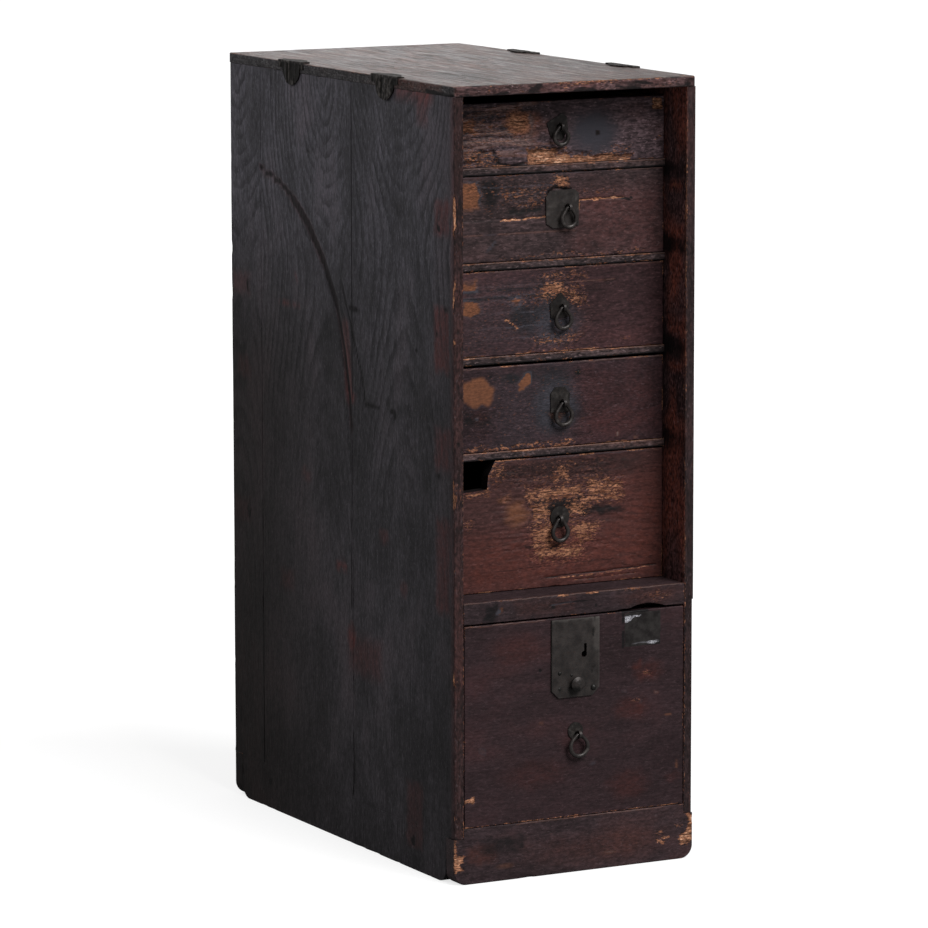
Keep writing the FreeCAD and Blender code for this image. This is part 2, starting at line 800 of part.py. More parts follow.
def ring(number):
    """A teardrop ring of round iron hanging in the eye, its crown at the body's origin."""
    body = new_body(f"drawer_{number}_ring")
    wire = size("ring_wire")
    belly = (size(f"ring_width_{number}") - wire) * HALF
    crown = size("ring_crown")
    length = size(f"ring_length_{number}") - wire
    belly_z = belly - length
    crown_z = -crown
    span = crown_z.value - belly_z.value
    tilt = math.asin((belly.value - crown.value) / span)
    route = sketch_on(body, "XZ_Plane", "route")
    upright = FreeCAD.Vector(0, 0, 1)
    crown_circle = Part.Circle(FreeCAD.Vector(0, crown_z.value, 0), upright, crown.value)
    belly_circle = Part.Circle(FreeCAD.Vector(0, belly_z.value, 0), upright, belly.value)
    right = FreeCAD.Vector(math.cos(tilt), math.sin(tilt), 0)
    left = FreeCAD.Vector(-math.cos(tilt), math.sin(tilt), 0)
    crown_middle = FreeCAD.Vector(0, crown_z.value, 0)
    belly_middle = FreeCAD.Vector(0, belly_z.value, 0)
    route.addGeometry(Part.ArcOfCircle(crown_circle, tilt, math.pi - tilt), False)
    route.addGeometry(
        Part.LineSegment(crown_middle + left * crown.value, belly_middle + left * belly.value), False)
    route.addGeometry(Part.ArcOfCircle(belly_circle, math.pi - tilt, 2 * math.pi + tilt), False)
    route.addGeometry(
        Part.LineSegment(belly_middle + right * belly.value, crown_middle + right * crown.value), False)
    for near, far in ((0, 1), (1, 2), (2, 3), (3, 0)):
        route.addConstraint(Sketcher.Constraint("Tangent", near, 2, far, 1))
    for arc, middle, radius in ((0, crown_z, crown), (2, belly_z, belly)):
        held = route.addConstraint(Sketcher.Constraint("Radius", arc, radius.value))
        bind(route, f"Constraints[{held}]", radius)
        hold_point(route, arc, 3, ZERO, middle)
    section = sketch_on(body, "YZ_Plane", "section")
    circle(section, ZERO, -length, wire * HALF)
    doc.recompute()
    bar = body.newObject("PartDesign::AdditivePipe", f"{body.Name}_bar")
    bar.Profile = section
    bar.Spine = (route, ["Edge1", "Edge2", "Edge3", "Edge4"])
    return body


def pull(number, front_y, eye_z, thickness):
    """Plate, split pin and ring of one drawer."""
    x = size(f"pull_x_{number}")
    for body, y in ((pull_plate(number), front_y), (staple(number, thickness), front_y),
                    (ring(number), front_y - eye_stand)):
        place(body, x, y, eye_z)
        keep(body)


# ---------------------------------------------------------------- lock

lock_foot = bay_floor[6] + size("floor_gap")
lock_height = bay_ceiling[6] - size("gap_above_6") - lock_foot
lock_top = lock_foot + lock_height
case_back_y = size("lower_front")
case_room = size("lock_case_depth") - size("lock_case_wall") * 2
bolt_thickness = case_room - size("bolt_clearance") * 2
bolt_front = (case_back_y - size("lock_case_depth") + size("lock_case_wall")
              + size("bolt_clearance"))


def lock_plate():
    """The face plate with its keyhole and the stud riveted into it."""
    body = new_body("lock_plate")
    half = size("lock_width") * HALF
    low = -size("lock_length")
    outline = sketch_on(body, "XZ_Plane", "outline")
    polygon(outline, [
        (-half, low + size("lock_chamfer")), (-half + size("lock_chamfer"), low),
        (half - size("lock_chamfer"), low), (half, low + size("lock_chamfer")),
        (half, ZERO), (-half, ZERO)])
    pad(body, outline, size("lock_plate"))

    keyhole = sketch_on(body, "XZ_Plane", "keyhole")
    x = size("keyhole_x") - size("lock_x")
    z = size("lock_top_gap") - size("keyhole_drop")
    bore = size("keyhole_bore") * HALF
    slot = size("keyhole_slot") * HALF
    circle(keyhole, x - slot, z, bore)
    pocket(body, keyhole, None, backwards=True, name="keyhole_bore")
    keyslot = sketch_on(body, "XZ_Plane", "keyslot")
    rectangle(keyslot, x - slot, z, x + slot, z + size("keyhole_length"))
    pocket(body, keyslot, None, backwards=True, name="keyhole_slot")

    # The stud: neck through the plate, waist, and a domed head.
    head = sketch_on(body, "YZ_Plane", "stud")
    middle = size("lock_top_gap") - size("stud_drop")
    neck = size("stud_neck") * HALF
    cap = size("stud_width") * HALF
    tail = size("stud_tail")
    tall = size("stud_height")
    polygon(head, [(tail, middle), (tail, middle + neck), (-(tall * STUD_WAIST), middle + neck)]
            + [(-(tall * y), middle + cap * z) for y, z in STUD_HEAD] + [(-tall, middle)])
    axis = head.addGeometry(
        Part.LineSegment(FreeCAD.Vector(-tall.value, middle.value, 0),
                         FreeCAD.Vector(tail.value, middle.value, 0)), True)
    hold_point(head, axis, 1, -tall, middle)
    hold_point(head, axis, 2, tail, middle)
    turned = body.newObject("PartDesign::Revolution", "lock_plate_stud_turned")
    turned.Profile = head
    turned.ReferenceAxis = (head, ["Axis0"])
    turned.Angle = 360
    place(body, size("lock_x"), case_front, lock_top - size("lock_top_gap"))
    return keep(body)


def lock_case():
    """The sheet-iron box that holds the bolt, open above for the bolt's tongue only."""
    body = board("lock_case", size("lock_case_width"), size("lock_case_depth"),
                 size("lock_case_height"))
    wall = size("lock_case_wall")
    room = sketch_on(body, "XY_Plane", "room", size("lock_case_height") - wall)
    rectangle(room, wall, wall, size("lock_case_width") - wall, size("lock_case_depth") - wall)
    pocket(body, room, size("lock_case_height") - wall * 2, name="bolt_room")
    slot = sketch_on(body, "XY_Plane", "slot", size("lock_case_height"))
    middle = size("lock_case_width") * HALF
    half = size("bolt_width") * HALF + size("bolt_clearance")
    rectangle(slot, middle - half, wall, middle + half, size("lock_case_depth") - wall)
    pocket(body, slot, wall, name="tongue_slot")
    keyway = sketch_on(body, "XZ_Plane", "keyway")
    x = size("keyhole_x") - size("lock_x") + middle
    z = size("lock_case_height") - size("keyhole_drop")
    half_way = size("keyhole_bore") * HALF
    rectangle(keyway, x - half_way, z - half_way, x + half_way, z + size("keyhole_length"))
    pocket(body, keyway, wall, name="keyway_cut")
    place(body, size("lock_x") - middle, case_front + case_back_y - size("lock_case_depth"),
          lock_top - size("lock_case_height"))
    return keep(body)


def lock_bolt():
    """A shouldered iron bolt that rises out of the drawer's top edge into the rail.

    It stands on the case's floor; the gate in its foot leaves room for the key to lift it.
    """
    body = new_body("lock_bolt")
    half = size("bolt_width") * HALF
    shoulder = half + size("bolt_shoulder")
    tongue_top = -size("bolt_below_edge")
    shoulder_z = -size("lock_case_wall") - size("bolt_travel") - size("bolt_clearance")
    low = size("lock_case_wall") + size("bolt_clearance") - size("lock_case_height")
    gate = size("keyhole_x") - size("lock_x")
    gate_top = -size("bolt_gate_top")
    face = sketch_on(body, "XZ_Plane", "face")
    polygon(face, [
        (-shoulder, low), (gate - size("bolt_gate"), low), (gate - size("bolt_gate"), gate_top),
        (gate + size("bolt_gate"), gate_top), (gate + size("bolt_gate"), low), (shoulder, low),
        (shoulder, shoulder_z), (half, shoulder_z), (half, tongue_top), (-half, tongue_top),
        (-half, shoulder_z), (-shoulder, shoulder_z)])
    pad(body, face, bolt_thickness, backwards=True)
    place(body, size("lock_x"), case_front + bolt_front, lock_top)
    return keep(body)


# ---------------------------------------------------------------- iron straps

def strap(label):
    """A strap bent over a top edge: a deep lobe down the side, a shallow one on top.

    Its origin is on the top's arris; it is drawn for the left side.
    """
    body = new_body(label)
    iron = size("strap_iron")
    wing = size("strap_wing_half")
    bent = sketch_on(body, "XZ_Plane", "section", wing)
    polygon(bent, [
        (ZERO, ZERO), (ZERO, -size("strap_wing")), (-iron, -size("strap_wing")),
        (-iron, iron), (size("strap_wing"), iron), (size("strap_wing"), ZERO)])
    pad(body, bent, wing * 2, backwards=True, name="bend")
    soften(body, size("strap_fold"), lambda edge: runs_along(edge, "Y") and lies_at(edge, "X", -iron)
           and lies_at(edge, "Z", iron), "fold")
    drop = sketch_on(body, "YZ_Plane", "drop")
    lobe_down(drop, size("strap_lobe_half"), size("strap_wing"), size("strap_drop"))
    pad(body, drop, iron, backwards=True, name="side_lobe")
    reach = sketch_on(body, "XY_Plane", "reach")
    lobe_in(reach, size("strap_lobe_half"), size("strap_wing"), size("strap_reach"))
    pad(body, reach, iron, name="top_lobe")
    return body


def lobe(sketch, turn, half_width, base, length):
    """A straight-sided tongue with a round end, turned from +Y to where it points."""
    bow = length - base
    radius = (half_width * half_width + bow * bow) / (bow * 2)
    corners = [(-half_width, base), (-half_width, ZERO), (half_width, ZERO), (half_width, base)]
    turned = [turn(x, y) for x, y in corners]
    points = [FreeCAD.Vector(x.value, y.value, 0) for x, y in turned]
    for near, far in zip(points, points[1:]):
        sketch.addGeometry(Part.LineSegment(near, far), False)
    crest = turn(ZERO, length)
    bowed = Part.Arc(points[3], FreeCAD.Vector(crest[0].value, crest[1].value, 0), points[0])
    arc = sketch.addGeometry(bowed, False)
    for i in range(2):
        sketch.addConstraint(Sketcher.Constraint("Coincident", i, 2, i + 1, 1))
    arc_start = sketch.getPoint(arc, 1)
    near_last = 1 if arc_start.distanceToPoint(points[3]) < 1e-6 else 2
    sketch.addConstraint(Sketcher.Constraint("Coincident", 2, 2, arc, near_last))
    sketch.addConstraint(Sketcher.Constraint("Coincident", arc, 3 - near_last, 0, 1))
    for i, end, corner in ((0, 1, 0), (0, 2, 1), (1, 2, 2), (2, 2, 3)):
        hold_point(sketch, i, end, *turned[corner])
    held = sketch.addConstraint(Sketcher.Constraint("Radius", arc, radius.value))
    bind(sketch, f"Constraints[{held}]", radius)


def lobe_down(sketch, half_width, base, length):
    """On the YZ plane, hanging along -Z."""
    lobe(sketch, lambda x, y: (x, -y), half_width, base, length)


def lobe_in(sketch, half_width, base, length):
    """On the XY plane, reaching along +X."""
    lobe(sketch, lambda x, y: (y, x), half_width, base, length)


def straps():
    """Two straps over each long top edge."""
    edge = case_left - size("top_overhang")
    bodies = []
    for name in ("rear", "front"):
        y = case_rear - size(f"strap_{name}")
        for hand, x, angle in (("left", edge, 0), ("right", -edge, 180)):
            body = strap(f"strap_{hand}_{name}")
            body.Placement = FreeCAD.Placement(
                FreeCAD.Vector(0, 0, 0), FreeCAD.Rotation(FreeCAD.Vector(0, 0, 1), angle))
            place(body, x, y, chest_top)
            bodies.append(body)
    return group("edge_straps", bodies)


# ---------------------------------------------------------------- assembly

side_wall("left_side", True)
side_wall("right_side", False)
top()
bottom()
back()
mid_rail()
mid_shelf()
for number in shelves:
    shelf(number)
plinth_front()
keep(plinth_end("plinth_back", size("plinth_height"), case_rear - size("plinth_board"),
                size("plinth_board")))
plinth_sides()
for number in drawers:
    drawer(number)
lock_plate()
lock_case()
lock_bolt()
straps()
doc.recompute()

for item in doc.Objects:
    if "Invalid" in item.State or "Error" in item.State:
        raise RuntimeError(f"{item.Name} failed: {item.State}")
for item in subparts:
    if item.Shape.isNull() or not item.Shape.isValid():
        raise RuntimeError(f"{item.Label} has no valid shape")

os.makedirs("parts", exist_ok=True)
for item in subparts:
    item.Shape.exportStep(os.path.join("parts", f"{item.Label}.step"))
print(f"{len(subparts)} sub-parts written")
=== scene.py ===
"""Looks of the small tansu chest: worn lacquered boards, forged iron, studio light and camera.

Lengths are in mm of the part's frame, unless a name or a comment says otherwise.
"""
import math

import bmesh
import bpy
import numpy as np
from mathutils import Matrix, Vector


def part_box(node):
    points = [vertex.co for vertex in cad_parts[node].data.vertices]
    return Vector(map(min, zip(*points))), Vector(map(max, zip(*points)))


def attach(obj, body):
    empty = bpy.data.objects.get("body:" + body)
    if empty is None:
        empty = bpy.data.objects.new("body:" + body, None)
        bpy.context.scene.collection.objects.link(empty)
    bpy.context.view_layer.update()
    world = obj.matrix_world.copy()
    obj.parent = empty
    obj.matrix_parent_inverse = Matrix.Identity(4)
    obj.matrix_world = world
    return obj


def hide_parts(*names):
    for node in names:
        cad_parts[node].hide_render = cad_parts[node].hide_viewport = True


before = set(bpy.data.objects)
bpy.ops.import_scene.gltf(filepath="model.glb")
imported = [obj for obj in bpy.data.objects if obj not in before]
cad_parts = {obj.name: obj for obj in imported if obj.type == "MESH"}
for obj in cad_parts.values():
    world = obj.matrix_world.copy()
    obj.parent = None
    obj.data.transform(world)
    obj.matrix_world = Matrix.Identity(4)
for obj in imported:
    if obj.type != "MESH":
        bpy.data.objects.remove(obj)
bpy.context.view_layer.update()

MM = 0.001
ALONG_X, ALONG_Y, ALONG_Z = 0, 1, 2
RAW, RED, DARK, TAN = range(4)
RUBBED_AND_HIGHLIGHTED = "rubbed"
DRAWERS = range(1, 7)


def box_mm(node):
    return [np.array(corner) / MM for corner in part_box(node)]


def front_of(node):
    return box_mm(node)[0][1]


FRONT_Y, REAR_Y = (corner[1] for corner in box_mm("left_side"))
RIGHT_X = box_mm("right_side")[1][0]


# ---------------------------------------------------------------- noise

def lattice(cell, seed):
    """A fixed random number from 0 to 1 for each whole-numbered cell, by an integer hash."""
    mixed = cell[..., 0] * 374761393 + cell[..., 1] * 668265263 + cell[..., 2] * 2147483647
    mixed = (mixed + seed * 144665) & 0xFFFFFFFF
    mixed = ((mixed ^ (mixed >> 13)) * 1274126177) & 0xFFFFFFFF
    mixed = ((mixed ^ (mixed >> 16)) * 2246822519) & 0xFFFFFFFF
    return (mixed ^ (mixed >> 15)) / 4294967295.0


def noise(points, size, seed, octaves=3):
    """Smooth noise from 0 to 1. size is the width of its largest blots along x, y and z."""
    scaled = points / np.broadcast_to(np.asarray(size, float), (3,))
    total = np.zeros(len(points))
    weights = 0.0
    for octave in range(octaves):
        at = scaled * 2 ** octave + 17.3 * octave
        cell = np.floor(at).astype(np.int64)
        share = at - cell
        share = share * share * (3 - 2 * share)
        value = np.zeros(len(points))
        for corner in range(8):
            step = np.array([corner & 1, corner >> 1 & 1, corner >> 2 & 1])
            weight = np.where(step, share, 1 - share).prod(1)
            value += weight * lattice(cell + step, seed + octave)
        total += value * 0.5 ** octave
        weights += 0.5 ** octave
    return total / weights


def rise(low, high, value):
    """0 below low, 1 above high and a smooth slope between them."""
    share = np.clip((value - low) / (high - low), 0, 1)
    return share * share * (3 - 2 * share)


def bumps(low, high, points, size, seed, octaves=3):
    """Noise drawn apart: 0 where it is below low and 1 where it is above high."""
    return rise(low, high, noise(points, size, seed, octaves))


# ---------------------------------------------------------------- boards

# Corners closer to a cut than this, in mm, lie on it.
CUT_REACH = 1e-5
# Faces that meet at a smaller angle than this, in radians, are one flat face.
FLAT_ANGLE = 0.004


def solids_of(node):
    """The closed solids of a CAD node, each as points in mm and triangles."""
    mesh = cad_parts[node].data
    mesh.calc_loop_triangles()
    points = np.empty(len(mesh.vertices) * 3, np.float32)
    mesh.vertices.foreach_get("co", points)
    triangles = np.empty(len(mesh.loop_triangles) * 3, np.int32)
    mesh.loop_triangles.foreach_get("vertices", triangles)
    points = np.round(points.reshape(-1, 3) / MM, 3)
    points, place = np.unique(points, axis=0, return_inverse=True)
    triangles = place.reshape(-1)[triangles].reshape(-1, 3)
    found, unmatched, first = [], set(), 0
    for index, (a, b, c) in enumerate(triangles.tolist()):
        for start, end in ((a, b), (b, c), (c, a)):
            if (end, start) in unmatched:
                unmatched.remove((end, start))
            else:
                unmatched.add((start, end))
        if not unmatched:
            found.append(triangles[first:index + 1])
            first = index + 1
    if first < len(triangles):
        found.append(triangles[first:])
    return points.astype(float), found


def places(low, high, step, close):
    """Where a span is cut: every step, and closer beside its two ends."""
    count = max(1, round((high - low) / step))
    inner = [low + (high - low) * k / count for k in range(1, count)]
    inner = [p for p in inner if low + max(close) < p < high - max(close)]
    ends = [low + c for c in close] + [high - c for c in close]
    return sorted(inner + [p for p in ends if low < p < high])


def slice_faces(bm, faces, axis, cuts):
    """Cuts the faces by planes square to an axis."""
    normal = [0.0, 0.0, 0.0]
    normal[axis] = 1.0

    def spans(found):
        for face in found:
            reach = [v.co[axis] for v in face.verts]
            yield min(reach), max(reach), face

    waiting = sorted(spans(faces), key=lambda span: -span[0])
    active = []
    for place in cuts:
        while waiting and waiting[-1][0] < place - CUT_REACH:
            active.append(waiting.pop())
        crossing = [face for _, high, face in active if high > place + CUT_REACH]
        edges = {e for f in crossing for e in f.edges}
        verts = {v for f in crossing for v in f.verts}
        point = [0.0, 0.0, 0.0]
        point[axis] = place
        made = bmesh.ops.bisect_plane(
            bm, geom=[*verts, *edges, *crossing], dist=CUT_REACH, plane_co=point, plane_no=normal
        )
        active = list(spans(f for f in made["geom"] if isinstance(f, bmesh.types.BMFace)))


def diced(name, node, step, shape, paint, skip=None, close=(0.3, 0.8, 1.6), first=None):
    """A piece cut from a CAD node into small faces, then worn by shape and marked by paint.

    step is the cuts' distance along x, y and z, and close adds cuts at these distances from
    the ends. first is the y of a cut made before skip tells, by their middle, which faces
    stay whole. shape gets each solid's points and its box, and returns the points moved.
    paint gets the marks to fill, the points at rest and the box.
    """
    whole = bmesh.new()
    layer = whole.verts.layers.float_color.new("marks")
    points, groups = solids_of(node)
    for triangles in groups:
        bm = bmesh.new()
        used = np.unique(triangles)
        vertex = {int(i): bm.verts.new(points[i]) for i in used}
        for a, b, c in triangles.tolist():
            if len({a, b, c}) == 3:
                bm.faces.new((vertex[a], vertex[b], vertex[c]))
        bmesh.ops.dissolve_limit(bm, angle_limit=FLAT_ANGLE, verts=bm.verts, edges=bm.edges)
        low, high = points[used].min(0), points[used].max(0)
        if first is not None:
            slice_faces(bm, bm.faces, ALONG_Y, [first])
        for axis in range(3):
            faces = [f for f in bm.faces if not (skip and skip(f.calc_center_median()))]
            slice_faces(bm, faces, axis, places(low[axis], high[axis], step[axis], close))
        rest = np.array([v.co for v in bm.verts], float).reshape(-1, 3)
        moved = np.clip(shape(rest.copy(), low, high), low, high)
        marks = np.zeros((len(rest), 4))
        paint(marks, rest, low, high)
        copies = [whole.verts.new(p * MM) for p in moved]
        bm.verts.index_update()
        for vert, mark in zip(copies, np.clip(marks, 0, 1)):
            vert[layer] = mark
        for face in bm.faces:
            whole.faces.new([copies[v.index] for v in face.verts])
        bm.free()
    return finished(whole, name)


def finished(bm, name, sharp=0.7):
    """The mesh object of bm, smooth but for edges of more than an angle in radians."""
    bm.normal_update()
    for face in bm.faces:
        face.smooth = True
    for edge in bm.edges:
        if len(edge.link_faces) == 2:
            edge.smooth = edge.calc_face_angle(0) < sharp
    mesh = bpy.data.meshes.new(name)
    bm.to_mesh(mesh)
    bm.free()
    made = bpy.data.objects.new(name, mesh)
    bpy.context.scene.collection.objects.link(made)
    return made


def softened(points, low, high, radius):
    """Rounds the edges of the box from low to high by each point's own radius."""
    limit = ((high - low).min() / 2) * 0.98
    radius = np.minimum(np.broadcast_to(radius, len(points)), limit)[:, None]
    core = np.clip(points, low + radius, high - radius)
    away = points - core
    length = np.maximum(np.linalg.norm(away, axis=1)[:, None], 1e-9)
    return core + away * np.minimum(1, radius / length)


def nicked(points, base, worn, size, seed):
    """Edge radii: a small one everywhere, and larger in worn places."""
    return base + worn * bumps(0.56, 0.8, points, size, seed, 4)


def pressed(points, axis, plane, inward, depth, reach=3.0):
    """Moves points near a face of the board inward by depth."""
    near = np.clip(1 - np.abs(points[:, axis] - plane) / reach, 0, 1)
    points[:, axis] += inward * depth * near
    return points


def edge_wear(points, low, high, seed, strength, width=1.6, size=16):
    """Raw wood along the edges of a box, in stretches."""
    sides = np.minimum(points - low, high - points)
    from_edge = np.sort(sides, axis=1)[:, 1]
    stretch = bumps(0.46, 0.68, points, size, seed)
    return strength * stretch * (1 - rise(0.3, width, from_edge))


# ---------------------------------------------------------------- marks on a face

def blob(a, b, centre_a, centre_b, radius_a, radius_b, soft=0.35):
    """1 inside an ellipse, sloping to 0 over its soft rim."""
    reach = np.hypot((a - centre_a) / radius_a, (b - centre_b) / radius_b)
    return 1 - rise(1 - soft, 1 + soft, reach)


def patch(a, b, a0, a1, b0, b1, soft):
    """1 inside a rectangle, sloping to 0 over its soft rim."""
    out = np.maximum(np.maximum(a0 - a, a - a1), np.maximum(b0 - b, b - b1))
    return 1 - rise(-soft, soft, out)


def stroke(a, b, way, width, soft=0.6):
    """1 along a line from point to point of way, sloping to 0 beside it."""
    nearest = np.full(len(a), 1e9)
    for (a0, b0), (a1, b1) in zip(way, way[1:]):
        length = max((a1 - a0) ** 2 + (b1 - b0) ** 2, 1e-9)
        share = np.clip(((a - a0) * (a1 - a0) + (b - b0) * (b1 - b0)) / length, 0, 1)
        gap = np.hypot(a - a0 - share * (a1 - a0), b - b0 - share * (b1 - b0))
        nearest = np.minimum(nearest, gap)
    return 1 - rise(width / 2 - soft / 2, width / 2 + soft / 2, nearest)


def is_fine(form, numbers):
    """Whether a mark is under 3 mm wide, or a stroke."""
    if form is blob:
        return min(numbers[2:4]) < 3
    return form is stroke or min(numbers[1] - numbers[0], numbers[3] - numbers[2]) < 3


def painted(marks, a, b, table, where):
    """Adds a table of marks to the points that where tells, with wavering outlines.

    It has rows of (strength, the form's numbers) by channel and form. Its RUBBED_AND_HIGHLIGHTED
    rows (height, start, end) are thin pale lines where an edge or a ridge is rubbed, partly
    rubbed wear and partly a painted highlight where it catches the light. Fine marks waver
    less than wide ones.
    """
    flat = np.stack([a, b, np.zeros(len(a))], 1)
    near_a = a + 1.6 * (noise(flat, 5, 23, 2) - 0.5)
    near_b = b + 1.6 * (noise(flat, 5, 24, 2) - 0.5)
    far_a = a + 8 * (noise(flat, 6, 21) - 0.5)
    far_b = b + 8 * (noise(flat, 6, 22) - 0.5)
    for kind, rows in table.items():
        if kind == RUBBED_AND_HIGHLIGHTED:
            for height, start, end in rows:
                line = where * stroke(near_a, near_b, [(start, height), (end, height)], 1.0)
                marks[:, RED] += 0.3 * line
                marks[:, TAN] += 0.34 * line
            continue
        channel, form = kind
        for strength, *numbers in rows:
            place = (near_a, near_b) if is_fine(form, numbers) else (far_a, far_b)
            marks[:, channel] += strength * form(*place, *numbers) * where


# ---------------------------------------------------------------- materials

class Value:
    """A number in a material's nodes, for plain arithmetic."""

    def __init__(self, shader, socket):
        self.shader, self.socket = shader, socket

    def __add__(self, other):
        return self.shader.math("ADD", self, other)

    def __sub__(self, other):
        return self.shader.math("SUBTRACT", self, other)

    def __rsub__(self, other):
        return self.shader.math("SUBTRACT", other, self)

    def __mul__(self, other):
        return self.shader.math("MULTIPLY", self, other)

    def rise(self, low, high):
        """0 where it is low, 1 where it is high and a smooth slope between them."""
        inputs = {"Value": self, "From Min": low, "From Max": high}
        return self.shader.value("ShaderNodeMapRange", inputs, interpolation_type="SMOOTHSTEP")

    def between(self, low, high):
        """Runs from low to high as it goes from 0 to 1."""
        inputs = {"Value": self, "To Min": low, "To Max": high}
        return self.shader.value("ShaderNodeMapRange", inputs)


class Shader:
    """A material built from nodes, whose grain runs along one axis."""

    def __init__(self, name, along=ALONG_X):
        self.along = along
        self.material = bpy.data.materials.new(name)
        self.material.use_nodes = True
        self.tree = self.material.node_tree
        self.tree.nodes.clear()
        output = self.tree.nodes.new("ShaderNodeOutputMaterial")
        self.surface = self.tree.nodes.new("ShaderNodeBsdfPrincipled")
        self.tree.links.new(self.surface.outputs[0], output.inputs[0])
        place = self.tree.nodes.new("ShaderNodeTexCoord").outputs["Object"]
        self.mm = self.value("ShaderNodeVectorMath", {0: place, 3: 1 / MM}, operation="SCALE")

    def feed(self, socket, value):
        """Links a value to a socket, or sets the socket to a constant."""
        if isinstance(value, Value):
            value = value.socket
        if isinstance(value, bpy.types.NodeSocket):
            self.tree.links.new(value, socket)
        else:
            socket.default_value = (*value, 1) if socket.type == "RGBA" else value

    def node(self, kind, inputs, **settings):
        made = self.tree.nodes.new(kind)
        for key, value in settings.items():
            setattr(made, key, value)
        for key, value in inputs.items():
            self.feed(made.inputs[key], value)
        return made

    def value(self, kind, inputs, **settings):
        return Value(self, self.node(kind, inputs, **settings).outputs[0])

    def math(self, operation, first, second=0.0):
        return self.value("ShaderNodeMath", {0: first, 1: second}, operation=operation)

    def places(self):
        """Each point's x, y and z."""
        parts = self.node("ShaderNodeSeparateXYZ", {0: self.mm}).outputs
        return [Value(self, part) for part in parts]

    def noise(self, size, detail, roughness, seed):
        """Noise from 0 to 1 with blots of size (x, y, z)."""
        inputs = {0: self.mm, 1: tuple(1 / s for s in size), 2: (seed, seed * 1.7, seed * 0.6)}
        place = self.value("ShaderNodeVectorMath", inputs, operation="MULTIPLY_ADD")
        inputs = {"Vector": place, "Scale": 1.0, "Detail": detail, "Roughness": roughness}
        return self.value("ShaderNodeTexNoise", inputs)

    def grain(self, across, length, detail, roughness, seed):
        """Noise with blots of a width across the grain and a length along it."""
        size = [across, across, across]
        size[self.along] = length
        return self.noise(size, detail, roughness, seed)

    def mix(self, share, first, second, kind="MIX"):
        """The first colour, with a share from 0 to 1 of the second."""
        made = self.node("ShaderNodeMix", {}, data_type="RGBA", blend_type=kind)
        for index, value in ((0, share), (6, first), (7, second)):
            self.feed(made.inputs[index], value)
        return made.outputs[2]

    def tinted(self, colour, factor):
        return self.mix(1.0, colour, factor, "MULTIPLY")

    def marks(self):
        """The four painted marks: raw, red, dark and tan."""
        found = self.node("ShaderNodeAttribute", {}, attribute_name="marks")
        parts = self.node("ShaderNodeSeparateColor", {"Color": found.outputs["Color"]})
        return [Value(self, part) for part in (*parts.outputs, found.outputs["Alpha"])]

    def finish(self, colour, rough, height, bump, depth, specular, metal=0.0):
        """The material, with its surface's colour, roughness and relief."""
        relief = self.node("ShaderNodeBump", {"Height": height, "Strength": bump,
                                              "Distance": depth * MM})
        for key, value in (("Base Color", colour), ("Roughness", rough),
                           ("Normal", relief.outputs[0]), ("Specular IOR Level", specular),
                           ("Metallic", metal)):
            self.feed(self.surface.inputs[key], value)
        return self.material


def dimmed(colour, share, lift=0.0):
    return tuple(c * share + lift for c in colour)


def flat_rings(centre, depth, slope, spacing, wobble):
    """Growth rings about a pith that lies under the board: across and along it, and how deep."""
    def place(shader, across):
        parts = shader.places()
        swing = shader.grain(4000, 170, 0, 0.5, 1.3)
        under = (swing - 0.5) * wobble + (parts[shader.along] * slope + depth)
        return parts[across] - centre, under, spacing
    return place


# The joints between a side's three boards, from the rear.
SIDE_SEAMS = (63.0, 246.0)


def side_rings(shader, _):
    """The three boards of a side, each with its own arches."""
    _, y, z = shader.places()
    rear = REAR_Y - y
    middle, front = (shader.math("GREATER_THAN", rear, seam) for seam in SIDE_SEAMS)
    width = rear - (middle * 178.0 + front * 147.0 + 20.0)
    z = z - front * 45.0
    under = (z.rise(200.0, 530.0) * 58.0 - z.rise(500.0, 740.0) * 86.0
             - z.rise(60.0, 190.0) * 16.0 + 42.0)
    return width, under, 7.6


def wood_grain(shader, across, rings, stretch=1.0):
    """Growth rings, fibres and pores of a board: three shares from 0 to 1."""
    width, under, spacing = rings(shader, across)
    width = width + (shader.grain(90, 260, 2, 0.5, 3.1) - 0.5) * 36.0
    reach = shader.math("SQRT", width * width + under * under)
    reach = reach + shader.grain(11, 42, 3, 0.55, 5.7) * 7.0
    turn = shader.math("FRACT", shader.math("DIVIDE", reach, spacing))
    ring = turn.rise(0.3, 0.86) * (1.0 - turn.rise(0.88, 1.0))
    showing = shader.grain(26, 110, 3, 0.6, 15.5).rise(0.34, 0.64)
    ring = ring * showing.between(0.15, 1.0)
    fibre = shader.grain(1.5, 24 * stretch, 3, 0.6, 8.2)
    pore = shader.grain(1.3, 6.5 * stretch, 2, 0.55, 2.9).rise(0.55, 0.66)
    return ring, fibre, pore * ring.between(0.35, 1.0)


BARE_DEEP = (0.095, 0.034, 0.018)
BARE_LIT = (0.27, 0.124, 0.07)
BARE_PALE = (0.7, 0.43, 0.29)
FADED_DEEP = (0.08, 0.031, 0.017)
FADED_LIT = (0.19, 0.074, 0.036)
RUBBED_PALE_HIGHLIGHT = (0.17, 0.12, 0.112)
SOOT_AND_PAINTED_SHADE = (0.0045, 0.0038, 0.0042)
STAIN = (0.04, 0.0382, 0.0475)


